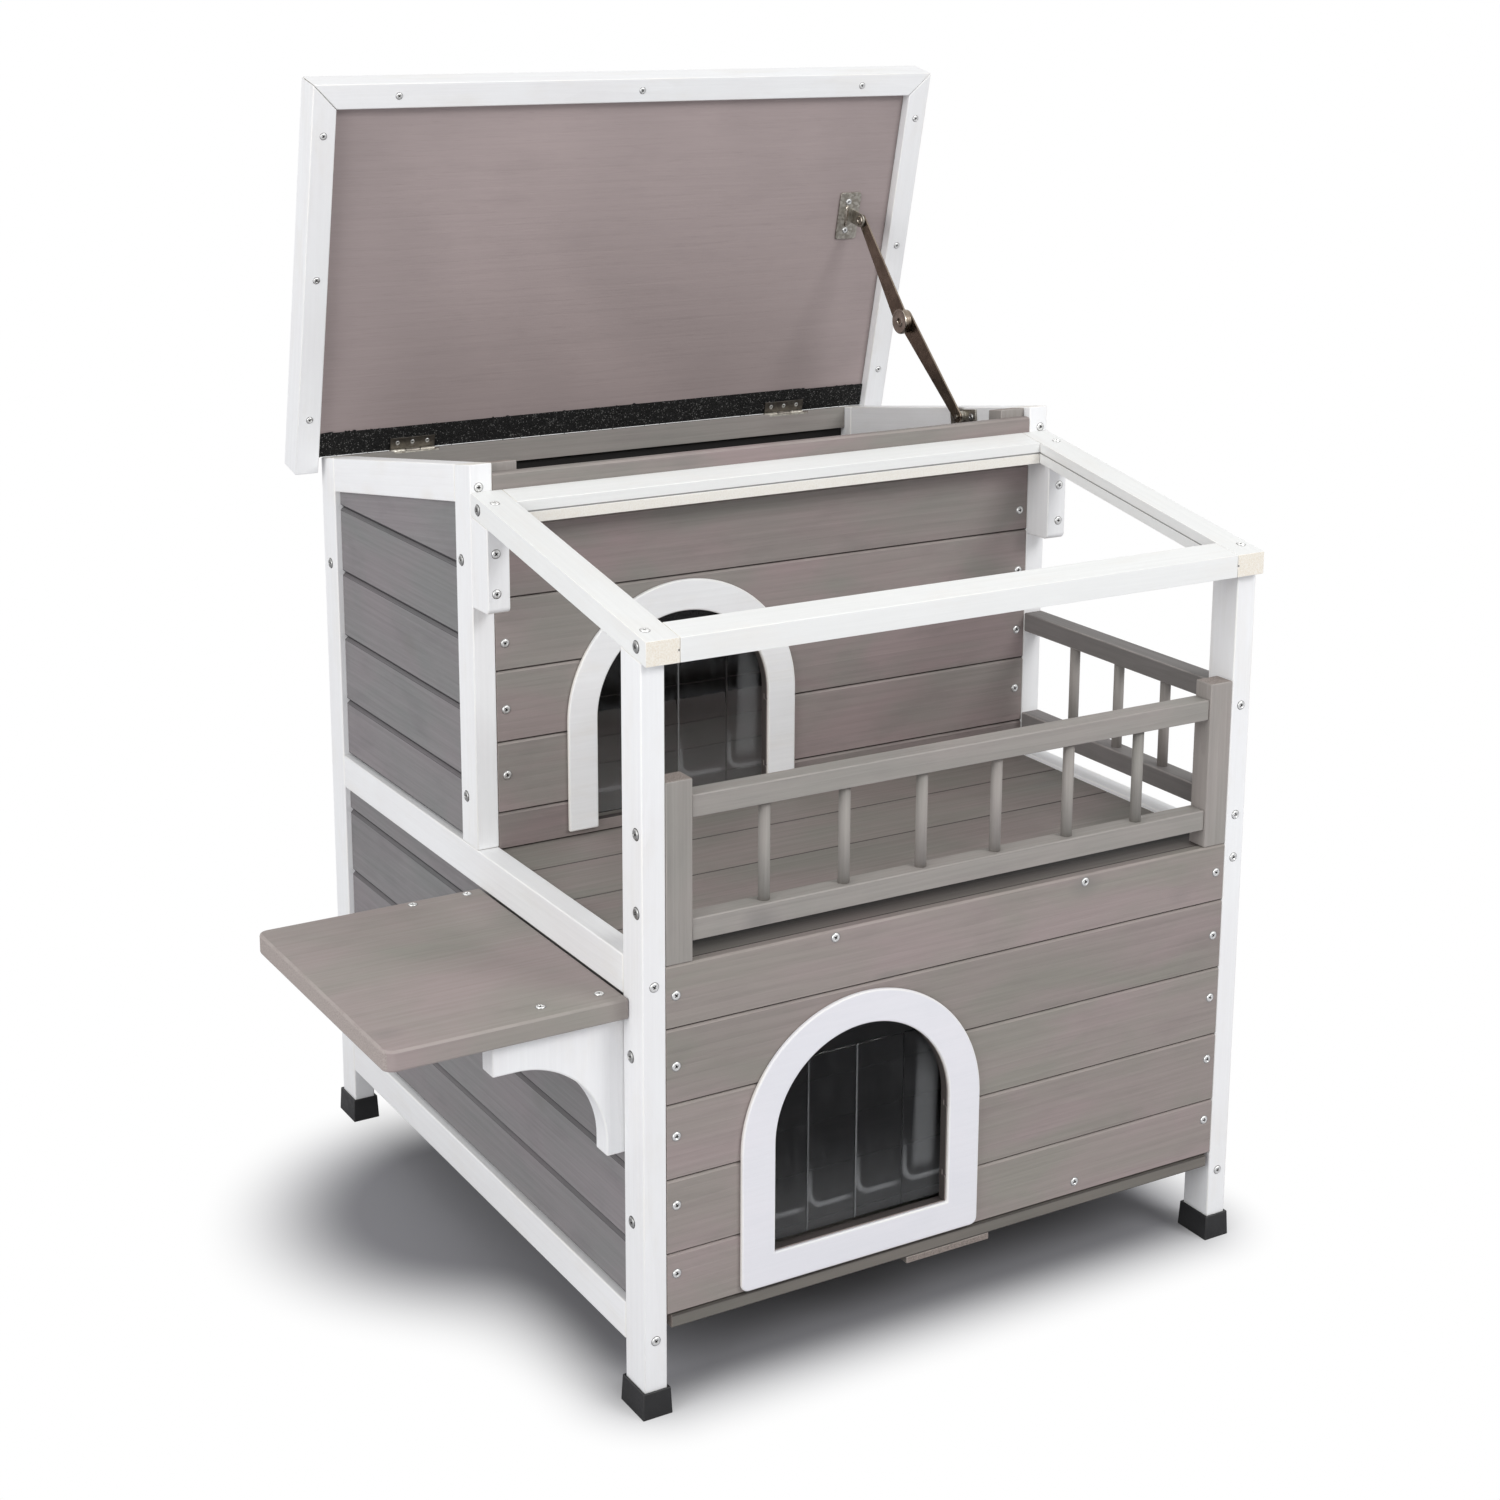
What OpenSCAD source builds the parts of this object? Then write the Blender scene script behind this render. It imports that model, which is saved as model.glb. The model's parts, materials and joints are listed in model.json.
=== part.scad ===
// Two-storey wooden cat house with a balcony, an open pergola frame over it,
// a side step, a pull-out floor and a hinged roof lid held open by an elbow stay.
// Millimetres. X runs to the right, Y to the back, Z up. The lid stands open.

/* [House] */
// Width over the two side frames
house_width = 560; // [500:5:620]
// Depth over the posts
house_depth = 602; // [570:2:650]
// Depth of the balcony in front of the upper cabin
balcony_depth = 280.5; // [262:0.5:292]
// Height of the lower storey, between the bottom and middle side rails
lower_storey = 277; // [262:1:300]
// Height of the upper cabin's front corner over the middle rail
upper_storey = 317; // [300:1:340]
// Slope of the roof in degrees, falling to the back
roof_slope = 8.5; // [7:0.5:10]
// Height of the bottom side rails over the ground
leg_clear = 51; // [44:1:60]

/* [Battens] */
// Thickness of the frame battens
batten_thick = 19; // [17:0.5:20]
// Width of the frame battens
batten_wide = 30; // [28:0.5:32]

/* [Boards] */
// Thickness of the wall boards
board_thick = 8; // [7:0.5:9.5]
// Spacing of the wall boards
board_wide = 59.3; // [56:0.1:63]
// Setback of the side boards from the frame's outer face
board_setback = 5; // [3:0.5:8]
// Thickness of the deck boards
deck_thick = 12; // [10:0.5:14]

/* [Doors] */
// Centre of both doors, from the left side
door_centre = 189; // [180:1:200]
// Clear width of the lower door
lower_door_wide = 158; // [150:1:164]
// Clear width of the upper door
upper_door_wide = 163; // [156:1:166]
// Height of the lower door's opening
lower_door_high = 168; // [155:1:172]
// Height of the upper door's opening
upper_door_high = 169; // [158:1:176]
// Outer width of the white door surrounds
surround_wide = 216; // [212:1:222]
// Thickness of the white door surrounds
surround_thick = 4; // [3:0.5:5]
// Thickness of the clear door strips
strip_thick = 1.2; // [1:0.1:1.6]
// Gap between neighbouring door strips
strip_gap = 0.8; // [0.6:0.1:1.4]

/* [Balcony railing] */
// Height of the railing posts over the deck
rail_post_high = 138.5; // [128:0.5:150]
// Thickness of the handrails
handrail = 17; // [15:0.5:18.5]
// Diameter of the spindles
spindle_diam = 9; // [7:0.5:11]
// Spacing of the front spindles
spindle_pitch = 69.4; // [62:0.2:76]

/* [Pergola] */
// Slope of the pergola in degrees, falling to the front
pergola_slope = 10.4; // [8:0.2:12]
// Width of the pergola's pieces
pergola_wide = 27; // [24:0.5:30]
// Thickness of the pergola's pieces
pergola_thick = 18; // [16:0.5:19]
// Overhang of the pergola in front of the posts
pergola_over = 8; // [6:0.5:12]

/* [Side step] */
// Reach of the side step
step_reach = 188.5; // [170:0.5:210]
// Thickness of the side step
step_thick = 16; // [14:0.5:18]
// Reach and height of the step's brackets
bracket_reach = 104; // [96:1:116]

/* [Pull-out floor] */
// Thickness of the floor boards
floor_thick = 10; // [9:0.5:11.5]

/* [Lid] */
// Lean of the open lid from upright, in degrees, towards the front
lid_lean = 12.9; // [9:0.1:17]
// Width of the lid's edge battens
lid_bar_wide = 21.5; // [19:0.5:24]
// Height of the lid's edge battens
lid_bar_high = 28; // [25:0.5:30]
// Thickness of the lid's panel
lid_panel_thick = 12; // [9:0.5:13]
// Thickness of the roofing felt
felt_thick = 2.2; // [1.6:0.1:2.6]
// Length of each hinge
hinge_long = 43; // [36:1:50]

/* [Hidden] */
// which piece is drawn
// smoothness of round shapes
$fn = 48;
// play between pieces that are fastened together
fit = 0.3;
// small amount by which cuts run past a face
past = 2;
// thinnest slice of a board that is still laid
least_slice = 8;
// bevel along the edges of the wall boards
board_bevel = 1.4;
// bevel along the edges of the side frames' boards
side_bevel = 2.3;
// bevel along the edges of the deck and floor boards
flat_bevel = 0.6;
// height of the tongue on the inner half of a board
board_lap = 4;

// heights of the frame
storey_play = 0.2;
deck_sink = 3.2;
low_rail_z = leg_clear;
low_rail_top = low_rail_z + batten_wide;
mid_rail_z = low_rail_z + lower_storey + storey_play;
mid_rail_top = mid_rail_z + batten_wide;
deck_top = mid_rail_top - deck_sink;
roof_front_z = mid_rail_top + upper_storey;
function roof_z(y) = roof_front_z - tan(roof_slope) * (y - balcony_depth);
back_rail_high = 17.5;
roof_rail_high = batten_wide / cos(roof_slope);

// walls: the boards at the foot are cut down, so each wall names its first one
wall_sink = 1.8;
first_board = 49;
upper_first_board = 31.5;
side_first_board = 51.3;
wall_top_drop = 9;
wall_foot = low_rail_top - wall_sink;
first_seam = wall_foot + first_board;
upper_first_seam = deck_top + upper_first_board;
side_upper_seam = mid_rail_top + side_first_board;
inner_left = batten_thick + fit;
inner_right = house_width - batten_thick - fit;
inner_wide = inner_right - inner_left;
rear_post_y = house_depth - batten_wide;
mid_post_back = balcony_depth + batten_wide;
wall_top_z = roof_front_z - wall_top_drop;
back_board_y = house_depth - board_setback - board_thick;
back_rail_y = house_depth - batten_thick;

// doors
lower_sill = 28.5;
upper_sill = 11;
lower_door_z = wall_foot + lower_sill;
lower_spring_z = lower_door_z + lower_door_high - lower_door_wide / 2;
upper_door_z = deck_top + upper_sill;
upper_spring_z = upper_door_z + upper_door_high - upper_door_wide / 2;
surround_corner = 6;
surround_foot = 2.5;
surround_drop = 3;
upper_surround_foot = 6;

// clear strips behind the doors
lower_slit_pitch = 43.5;
upper_slit_pitch = 47;
strip_y = 2 * fit;
strip_hang = 57;
lower_pivot_z = lower_spring_z + strip_hang;
upper_pivot_z = upper_spring_z + strip_hang;
strip_foot_gap = 2.2;
header_gap = 1.1;
header_high = 40;
outer_strip_past = 9.5;

// inner cleats
cleat_wide = 25;
cleat_deep = batten_thick;
cleat_foot = 3;
cleat_sink = 0.5;
runner_high = 19;
deck_board_wide = 74;
cleat_back = board_thick + fit + cleat_deep;

// pergola
pergola_drop = 22;
pergola_back_z = roof_front_z - pergola_drop;
function pergola_top(y) = pergola_back_z - tan(pergola_slope) * (balcony_depth - y);
function pergola_foot(y) = pergola_top(y) - pergola_thick / cos(pergola_slope);
groove_size = 1.2;
block_high = 74;
block_round = 5;

// railing
rail_post_wide = 22;
low_rail_lift = 15;
rail_rise = 93.3;
front_low_rail_z = deck_top + low_rail_lift;
front_top_rail_z = front_low_rail_z + rail_rise;
side_rail_lift = 7.2;
side_spindle_pitch = 61.5;
front_spindles = 6;
side_spindles = 3;
rail_setback = 1.5;

// feet
cap_flare = 3;
cap_wall_top = 2;
cap_high = 21.4;
post_foot_z = 3.2;

// pull-out floor
floor_gap = 1.2;
floor_top = wall_foot - floor_gap;
floor_z = floor_top - floor_thick;
floor_side_gap = 4;
floor_board_wide = 75;
floor_back_gap = 2;
floor_back = back_rail_y - fit - floor_back_gap;
floor_batten_high = 5.5;
floor_batten_side = 60;
floor_batten_front = 70;
floor_batten_rear = 20;
pull_batten_left = 47;
pull_batten_wide = 79;
ledger_wide = 11;
ledger_high = 10;

// side step
step_top = mid_rail_z - fit;
step_front_y = 20;
step_back_gap = 2.5;
step_back_y = balcony_depth - step_back_gap;
step_round = 9;
bracket_thick = 18;
bracket_tip = 26;
bracket_foot = 18.5;

// hinges and lid, measured from the hinge pin
leaf_thick = 1.2;
leaf_gap = 0.3;
leaf_deep = 13;
rail_leaf_deep = 10.5;
leaf_third = hinge_long / 3;
leaf_screw_y = 8;
leaf_sink = 0.8;
leaf_play = 0.6;
leaf_high = leaf_gap / 2 + leaf_thick;
knuckle_radius = 2.4;
pin_radius = 0.9;
hinge_inset = 84;
pin_inset = 8;
hinge_side = hinge_inset - hinge_long / 2;
hinge_y = house_depth - pin_inset;
pin_sink = 1;
hinge_z = roof_z(hinge_y) - pin_sink;
panel_under = felt_thick + leaf_thick + leaf_gap / 2;
lid_recess = 9;
lid_side_gap = 7;
lid_tail = 11;
felt_start = 2;
panel_start = felt_start + felt_thick;
felt_strip = 22.6;
panel_past = 0.8;
panel_end = (hinge_y - balcony_depth) / cos(roof_slope) + panel_past;
lid_out = lid_side_gap + lid_bar_wide;
lid_end = panel_end + lid_bar_wide;
lid_low = lid_recess - panel_under;
lid_high = lid_bar_high - lid_low;

// stay
arm_thick = 1.6;
arm_end = 5.5;
arm_elbow = 10.5;
elbow_radius = 12;
elbow_cap_thick = 1.8;
pivot_radius = 2;
boss_radius = 5;
rivet_radius = 5;
rivet_high = 1;
rivet_past = 1.4;
plate_thick = 1.5;
plate_wide = 23;
plate_long = 46;
ear_gap = 0.9;
ear_radius = 6.5;
base_plate_long = 40;
base_plate_low = 8;
base_plate_high = 6;
upper_arm_inset = 31.5;
lower_arm_inset = 26.5;
plate_inset = 18;
eye_play = 0.4;
upper_arm_x = house_width - upper_arm_inset;
lower_arm_x = house_width - lower_arm_inset;
plate_x = upper_arm_x - plate_inset;
ear_u = 199.3;
ear_high = 9.65;
ear_drop = panel_under + ear_high;
lower_arm_share = 0.5102;
stay_slack = 1.0035;
stay_base_back = 99.3;
stay_base_drop = 8.1;
stay_base_y = balcony_depth + stay_base_back;
stay_base_z = roof_z(stay_base_y) - stay_base_drop;
ear_y = hinge_y - sin(lid_lean) * ear_u - cos(lid_lean) * ear_drop;
ear_z = hinge_z + cos(lid_lean) * ear_u - sin(lid_lean) * ear_drop;
stay_reach = sqrt(pow(ear_y - stay_base_y, 2) + pow(ear_z - stay_base_z, 2));
lower_arm = stay_reach * lower_arm_share;
upper_arm = stay_reach * stay_slack - lower_arm;
reach_angle = atan2(ear_z - stay_base_z, ear_y - stay_base_y);
base_cosine = (pow(lower_arm, 2) + pow(stay_reach, 2) - pow(upper_arm, 2)) / (2 * lower_arm * stay_reach);
base_bend = acos(base_cosine);
lower_arm_angle = reach_angle - base_bend;
elbow_y = stay_base_y + lower_arm * cos(lower_arm_angle);
elbow_z = stay_base_z + lower_arm * sin(lower_arm_angle);
upper_arm_angle = atan2(ear_z - elbow_z, ear_y - elbow_y);

// screws: head sizes, then where they sit on each piece
screw_radius = 3.4;
screw_high = 1;
small_screw = 2.1;
plate_screw = 2.8;
plate_screw_high = 0.8;
slot_long = 1.2;
slot_wide = 0.26;
slot_level = 0.4;
base_screw_sink = 1;
leaf_screws = [0.5, 1.5, 2.5];
lid_screw_u = [40.5, 169, 295.5];
lid_screw_side = 48;
plate_screw_u = 14;
plate_screw_x = 9.5;
back_screw_drop = 98;
middle_screw_y = 19.5;
middle_screw_drop = 80;
middle_screw_rise = 41;
rail_screw_y = 8.5;
rail_screw_drop = 15.8;
rail_screw_rise = 18.5;
leg_screw_y = 18.5;
leg_screw_drop = 45;
leg_screw_rise = 71;
leg_front_screw_x = 9.5;
mid_front_screw_rise = 13.5;
low_front_screw_rise = 10.5;
block_screw_x = 7.3;
block_screw_drops = [44, 76];
pergola_screw_x = 9;
pergola_screw_front = 10;
pergola_top_screw_rear = 26;
pergola_side_screw_y = 6.2;
pergola_screw_rear = 13.5;
wall_screw_side = 8;
wall_screw_drop = 16.5;
wall_screw_rise = 31.5;
wall_screw_pitch = 55;
lower_wall_screws = 5;
upper_left_screws = 3;
upper_right_screws = 4;
inner_screw_side = 163;
foot_screw_rise = 11;
step_screw_x = [-62, -15];
step_screw_front = 18.5;
step_screw_rear = 8;
base_screw_side = 13;

// the whole object is centred over the ground
most_right = house_width + lid_out;
most_left = -step_reach;
most_front = -pergola_over;
most_back = hinge_y + lid_tail * sin(lid_lean) + lid_high * cos(lid_lean);
centre_x = (most_left + most_right) / 2;
centre_y = (most_front + most_back) / 2;

// colours
white_paint = [0.93, 0.93, 0.92];
grey_stain = [0.55, 0.52, 0.49];
grey_light = [0.62, 0.6, 0.56];
black_rubber = [0.08, 0.08, 0.08];
felt_black = [0.12, 0.12, 0.12];
clear_vinyl = [0.8, 0.85, 0.88, 0.4];
raw_wood = [0.78, 0.68, 0.52];
zinc = [0.7, 0.71, 0.7];
bronze = [0.26, 0.21, 0.17];

// moves the house so that its overall box is centred over the ground point
module place() {
  translate([-centre_x, -centre_y, 0])
    children();
}

// the left side's pieces, turned over for the right side
module right_side() {
  translate([house_width, 0, 0])
    mirror([1, 0, 0])
      children();
}

// a flat outline in depth and height, given a width along X
module profile_yz(points, from_x, wide) {
  translate([from_x, 0, 0])
    rotate([90, 0, 90])
      linear_extrude(height = wide)
        polygon(points);
}

// a flat outline in width and height, given a depth along Y
module profile_xz(points, from_y, deep) {
  translate([0, from_y + deep, 0])
    rotate([90, 0, 0])
      linear_extrude(height = deep)
        polygon(points);
}

// a plain block between two corners
module block(x0, x1, y0, y1, z0, z1) {
  translate([x0, y0, z0])
    cube([x1 - x0, y1 - y0, z1 - z0]);
}

// a round bar along Y
module bar_y(x, z, y0, y1, radius) {
  translate([x, y1, z])
    rotate([90, 0, 0])
      cylinder(r = radius, h = y1 - y0);
}

// a round bar along X
module bar_x(y, z, x0, x1, radius) {
  translate([x0, y, z])
    rotate([0, 90, 0])
      cylinder(r = radius, h = x1 - x0);
}

// section of one board, outer face at 0: the outer edges are bevelled, and on the
// inner half a tongue runs up behind the next board, so that no light comes through
function lapped(low, high, thick, bevel, is_lowest, is_highest) = concat(
  [[0, low + bevel], [bevel, low]],
  is_lowest ? [[thick, low]] : [[thick / 2, low], [thick / 2, low + board_lap], [thick, low + board_lap]],
  is_highest ? [[thick, high]]
    : [[thick, high + board_lap], [thick / 2 + fit, high + board_lap], [thick / 2 + fit, high]],
  [[bevel, high], [0, high - bevel]]);

// number of boards needed above the first seam
function more_boards(first, top) = ceil((top - first - least_slice) / board_wide);

// lower edge of a board and its upper edge, counted up from the one at the foot
function board_low(i, foot, first) = i == 0 ? foot : first + (i - 1) * board_wide;
function board_high(i, first, top) = i == more_boards(first, top) ? top : first + i * board_wide - fit;

function wall_section(i, foot, first, top, bevel) = lapped(board_low(i, foot, first), board_high(i, first, top),
  board_thick, bevel, i == 0, i == more_boards(first, top));

// boards lying along X, one above the other, outer face at y = 0 facing the front
module boards_along_x(x0, wide, foot, first, top) {
  for (i = [0 : more_boards(first, top)])
    profile_yz(wall_section(i, foot, first, top, board_bevel), x0, wide);
}

// boards lying along Y, one above the other, outer face at x = 0 facing the left
module boards_along_y(y0, deep, foot, first, top) {
  for (i = [0 : more_boards(first, top)])
    profile_xz(wall_section(i, foot, first, top, side_bevel), y0, deep);
}

// boards laid flat side by side from front to back, upper face at the given height
module flat_boards(x0, x1, y0, y1, top, thick, widest) {
  count = ceil((y1 - y0) / widest);
  pitch = (y1 - y0 + fit) / count;
  for (i = [0 : count - 1]) {
    low = y0 + i * pitch;
    section = lapped(low, low + pitch - fit, thick, flat_bevel, i == 0, i == count - 1);
    profile_yz([for (p = section) [p[1], top - p[0]]], x0, x1 - x0);
  }
}

// an arched opening through a wall
module arch(centre, wide, foot, spring, y0, y1) {
  block(centre - wide / 2, centre + wide / 2, y0, y1, foot, spring);
  bar_y(centre, spring, y0, y1, wide / 2);
}

// the side frames: posts and rails of battens standing on edge, boards let in between
module front_post() {
  profile_yz([[0, post_foot_z], [batten_wide, post_foot_z],
    [batten_wide, pergola_foot(batten_wide) - fit], [0, pergola_foot(0) - fit]], 0, batten_thick);
}

module back_post() {
  profile_yz([[rear_post_y, post_foot_z], [house_depth, post_foot_z],
    [house_depth, roof_z(house_depth)], [rear_post_y, roof_z(rear_post_y)]], 0, batten_thick);
}

module middle_post() {
  profile_yz([[balcony_depth, mid_rail_top + fit], [mid_post_back, mid_rail_top + fit],
    [mid_post_back, roof_z(mid_post_back)], [balcony_depth, roof_z(balcony_depth)]], 0, batten_thick);
}

module side_rail(z0) {
  block(0, batten_thick, batten_wide + fit, rear_post_y - fit, z0, z0 + batten_wide);
}

module left_front_post() {
  color(white_paint) place() front_post();
}

module left_back_post() {
  color(white_paint) place() back_post();
}

module left_middle_post() {
  color(white_paint) place() middle_post();
}

module left_bottom_rail() {
  color(white_paint) place() side_rail(low_rail_z);
}

module left_middle_rail() {
  color(white_paint) place() side_rail(mid_rail_z);
}

module roof_rail() {
  front = mid_post_back + fit;
  back = rear_post_y - fit;
  profile_yz([[front, roof_z(front) - roof_rail_high], [back, roof_z(back) - roof_rail_high],
    [back, roof_z(back)], [front, roof_z(front)]], 0, batten_thick);
}

module left_roof_rail() {
  color(white_paint) place() roof_rail();
}

module lower_side_boards() {
  translate([board_setback, 0, 0])
    boards_along_y(batten_wide + fit, rear_post_y - batten_wide - 2 * fit,
      low_rail_top + fit, first_seam, mid_rail_z - fit);
}

module left_lower_boards() {
  color(grey_stain) place() lower_side_boards();
}

module upper_side_boards() {
  front = mid_post_back + fit;
  back = rear_post_y - fit;
  intersection() {
    translate([board_setback, 0, 0])
      boards_along_y(front, back - front, mid_rail_top + fit, side_upper_seam, roof_front_z);
    profile_yz([[front, mid_rail_top], [back, mid_rail_top], [back, roof_z(back) - roof_rail_high - fit],
      [front, roof_z(front) - roof_rail_high - fit]], 0, batten_thick);
  }
}

module left_upper_boards() {
  color(grey_stain) place() upper_side_boards();
}

module right_front_post() {
  color(white_paint) place() right_side() front_post();
}

module right_back_post() {
  color(white_paint) place() right_side() back_post();
}

module right_middle_post() {
  color(white_paint) place() right_side() middle_post();
}

module right_bottom_rail() {
  color(white_paint) place() right_side() side_rail(low_rail_z);
}

module right_middle_rail() {
  color(white_paint) place() right_side() side_rail(mid_rail_z);
}

module right_roof_rail() {
  color(white_paint) place() right_side() roof_rail();
}

module right_lower_boards() {
  color(grey_stain) place() right_side() lower_side_boards();
}

module right_upper_boards() {
  color(grey_stain) place() right_side() upper_side_boards();
}

// outline of a cap seen from one side, wider at the ground than at its rim
function cap_outline(a0, a1) = [[a0 - cap_flare, 0], [a1 + cap_flare, 0], [a1 + cap_wall_top, cap_high],
  [a0 - cap_wall_top, cap_high]];

// flared cap around the foot of one post, hollow where the post stands
module foot_cap(x0, y0) {
  x1 = x0 + batten_thick;
  y1 = y0 + batten_wide;
  difference() {
    intersection() {
      profile_xz(cap_outline(x0, x1), y0 - 2 * cap_flare, batten_wide + 4 * cap_flare);
      profile_yz(cap_outline(y0, y1), x0 - 2 * cap_flare, batten_thick + 4 * cap_flare);
    }
    block(x0 - fit, x1 + fit, y0 - fit, y1 + fit, post_foot_z - fit, cap_high + past);
  }
}

module foot_caps() {
  color(black_rubber) place() {
    foot_cap(0, 0);
    foot_cap(0, rear_post_y);
    foot_cap(house_width - batten_thick, 0);
    foot_cap(house_width - batten_thick, rear_post_y);
  }
}

module front_lower_boards() {
  color(grey_stain) place()
    difference() {
      boards_along_x(inner_left, inner_wide, wall_foot, first_seam, deck_top);
      arch(door_centre, lower_door_wide, lower_door_z, lower_spring_z, -past, board_thick + past);
    }
}

// upper half of a round disc, for the head of a door surround
module round_head(centre, spring, y0, y1, radius) {
  intersection() {
    bar_y(centre, spring, y0, y1, radius);
    block(centre - radius - past, centre + radius + past, y0, y1, spring, spring + radius + past);
  }
}

// outer shape of a door surround
module surround_body(foot, spring) {
  half = surround_wide / 2;
  back = -fit / 3;
  left = door_centre - half;
  right = door_centre + half;
  block(left, right, -surround_thick, back, foot + surround_corner, spring);
  block(left + surround_corner, right - surround_corner, -surround_thick, back, foot, spring);
  bar_y(left + surround_corner, foot + surround_corner, -surround_thick, back, surround_corner);
  bar_y(right - surround_corner, foot + surround_corner, -surround_thick, back, surround_corner);
  round_head(door_centre, spring, -surround_thick, back, half);
}

module lower_door_surround() {
  color(white_paint) place()
    difference() {
      surround_body(wall_foot + surround_foot, lower_spring_z - surround_drop);
      arch(door_centre, lower_door_wide, lower_door_z, lower_spring_z, -surround_thick - past, past);
    }
}

// upright batten behind the upper wall, its top cut to the slope of the roof
module upper_cleat(x0) {
  front = balcony_depth + board_thick + fit;
  back = balcony_depth + cleat_back;
  profile_yz([[front, deck_top + fit], [back, deck_top + fit], [back, roof_z(back) - cleat_sink],
    [front, roof_z(front) - cleat_sink]], x0, cleat_wide);
}

// upright batten behind the lower wall
module lower_cleat(x0) {
  top = deck_top - deck_thick - fit;
  block(x0, x0 + cleat_wide, board_thick + fit, cleat_back, wall_foot + cleat_foot, top);
}

module front_cleats() {
  color(grey_light) place() {
    lower_cleat(inner_left);
    lower_cleat(inner_right - cleat_wide);
    upper_cleat(inner_left);
    upper_cleat(inner_right - cleat_wide);
  }
}

// the deck runs from the front wall to the back wall: balcony floor and upper cabin floor
module deck_boards() {
  color(grey_light) place()
    flat_boards(inner_left, inner_right, board_thick + fit, back_board_y - fit, deck_top, deck_thick,
      deck_board_wide);
}

// batten under one side of the deck
module runner(x0) {
  top = deck_top - deck_thick - fit;
  block(x0, x0 + batten_thick, cleat_back + fit, back_board_y - fit, top - runner_high, top);
}

module deck_runners() {
  color(raw_wood) place() {
    runner(inner_left);
    runner(inner_right - batten_thick);
  }
}

module front_upper_boards() {
  color(grey_stain) place()
    translate([0, balcony_depth, 0])
      difference() {
        boards_along_x(inner_left, inner_wide, deck_top + fit, upper_first_seam, wall_top_z);
        arch(door_centre, upper_door_wide, upper_door_z, upper_spring_z, -past, board_thick + past);
      }
}

module upper_door_surround() {
  half = surround_wide / 2;
  foot = deck_top + upper_surround_foot;
  spring = upper_spring_z;
  color(white_paint) place()
    translate([0, balcony_depth, 0])
      difference() {
        union() {
          block(door_centre - half, door_centre + half, -surround_thick, -fit / 3, foot, spring);
          round_head(door_centre, spring, -surround_thick, -fit / 3, half);
        }
        arch(door_centre, upper_door_wide, foot - past, spring, -surround_thick - past, past);
      }
}

module back_boards() {
  top = roof_z(house_depth) - back_rail_high - fit;
  color(grey_stain) place()
    translate([0, house_depth - board_setback, 0])
      mirror([0, 1, 0])
        boards_along_x(inner_left, inner_wide, low_rail_top + fit, first_seam, top);
}

// top and bottom rails of the back wall, the top one let in for the hinges
module back_rails() {
  foot = roof_z(house_depth) - back_rail_high;
  socket = knuckle_radius + leaf_play;
  color(grey_stain) place() {
    difference() {
      profile_yz([[back_rail_y, foot], [house_depth, foot], [house_depth, roof_z(house_depth)],
        [back_rail_y, roof_z(back_rail_y)]], inner_left, inner_wide);
      hinge_places()
        translate([0, hinge_y, hinge_z]) {
          rotate([180 - roof_slope, 0, 0])
            block(-fit, hinge_long + fit, -socket, 2 * batten_thick, -2 * past, leaf_high + fit / 3);
          bar_x(0, 0, -fit, hinge_long + fit, socket);
          block(-fit, hinge_long + fit, -socket, socket, 0, 3 * past);
        }
    }
    block(inner_left, inner_right, back_rail_y, house_depth, low_rail_z, low_rail_top);
  }
}

// short post at one end of the front railing
module railing_post(x0) {
  block(x0, x0 + rail_post_wide, 0, batten_thick, deck_top + fit, deck_top + rail_post_high);
}

module railing_posts() {
  color(grey_light) place() {
    railing_post(inner_left);
    railing_post(inner_right - rail_post_wide);
  }
}

module front_rail(z0) {
  block(inner_left + rail_post_wide + fit, inner_right - rail_post_wide - fit, rail_setback,
    rail_setback + handrail, z0, z0 + handrail);
}

module front_handrails() {
  color(grey_light) place() {
    front_rail(front_low_rail_z);
    front_rail(front_top_rail_z);
  }
}

module side_handrail(z0) {
  inner = house_width - batten_thick + fit;
  block(inner, house_width, batten_wide + fit, balcony_depth - fit, z0, z0 + handrail);
}

module side_handrails() {
  color(grey_stain) place() {
    side_handrail(front_low_rail_z + side_rail_lift);
    side_handrail(front_top_rail_z + side_rail_lift);
  }
}

module spindle(x, y, z0) {
  translate([x, y, z0 + handrail + fit])
    cylinder(d = spindle_diam, h = front_top_rail_z - front_low_rail_z - handrail - 2 * fit);
}

module railing_spindles() {
  color(grey_light) place() {
    for (i = [0 : front_spindles - 1])
      spindle(house_width / 2 + (i - (front_spindles - 1) / 2) * spindle_pitch, rail_setback + handrail / 2,
        front_low_rail_z);
    for (i = [0 : side_spindles - 1])
      spindle(house_width - (batten_thick - fit) / 2,
        (batten_wide + balcony_depth) / 2 + (i - (side_spindles - 1) / 2) * side_spindle_pitch,
        front_low_rail_z + side_rail_lift);
  }
}

// sloping outline of a pergola piece between two depths
function pergola_outline(y0, y1) = [[y0, pergola_foot(y0)], [y1, pergola_foot(y1)], [y1, pergola_top(y1)],
  [y0, pergola_top(y0)]];

// height half way up a pergola piece
function pergola_mid(y) = (pergola_foot(y) + pergola_top(y)) / 2;

// thin groove half way up an inner face
function groove_outline(y0, y1) = [
  [y0, pergola_mid(y0) - groove_size / 2], [y1, pergola_mid(y1) - groove_size / 2],
  [y1, pergola_mid(y1) + groove_size / 2], [y0, pergola_mid(y0) + groove_size / 2]];

module left_rafter() {
  difference() {
    profile_yz(pergola_outline(-pergola_over, balcony_depth - fit), 0, pergola_wide);
    profile_yz(groove_outline(-2 * pergola_over, house_depth), pergola_wide - groove_size, past * 2);
  }
}

module pergola_rafters() {
  color(white_paint) place() {
    left_rafter();
    right_side() left_rafter();
  }
}

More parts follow.
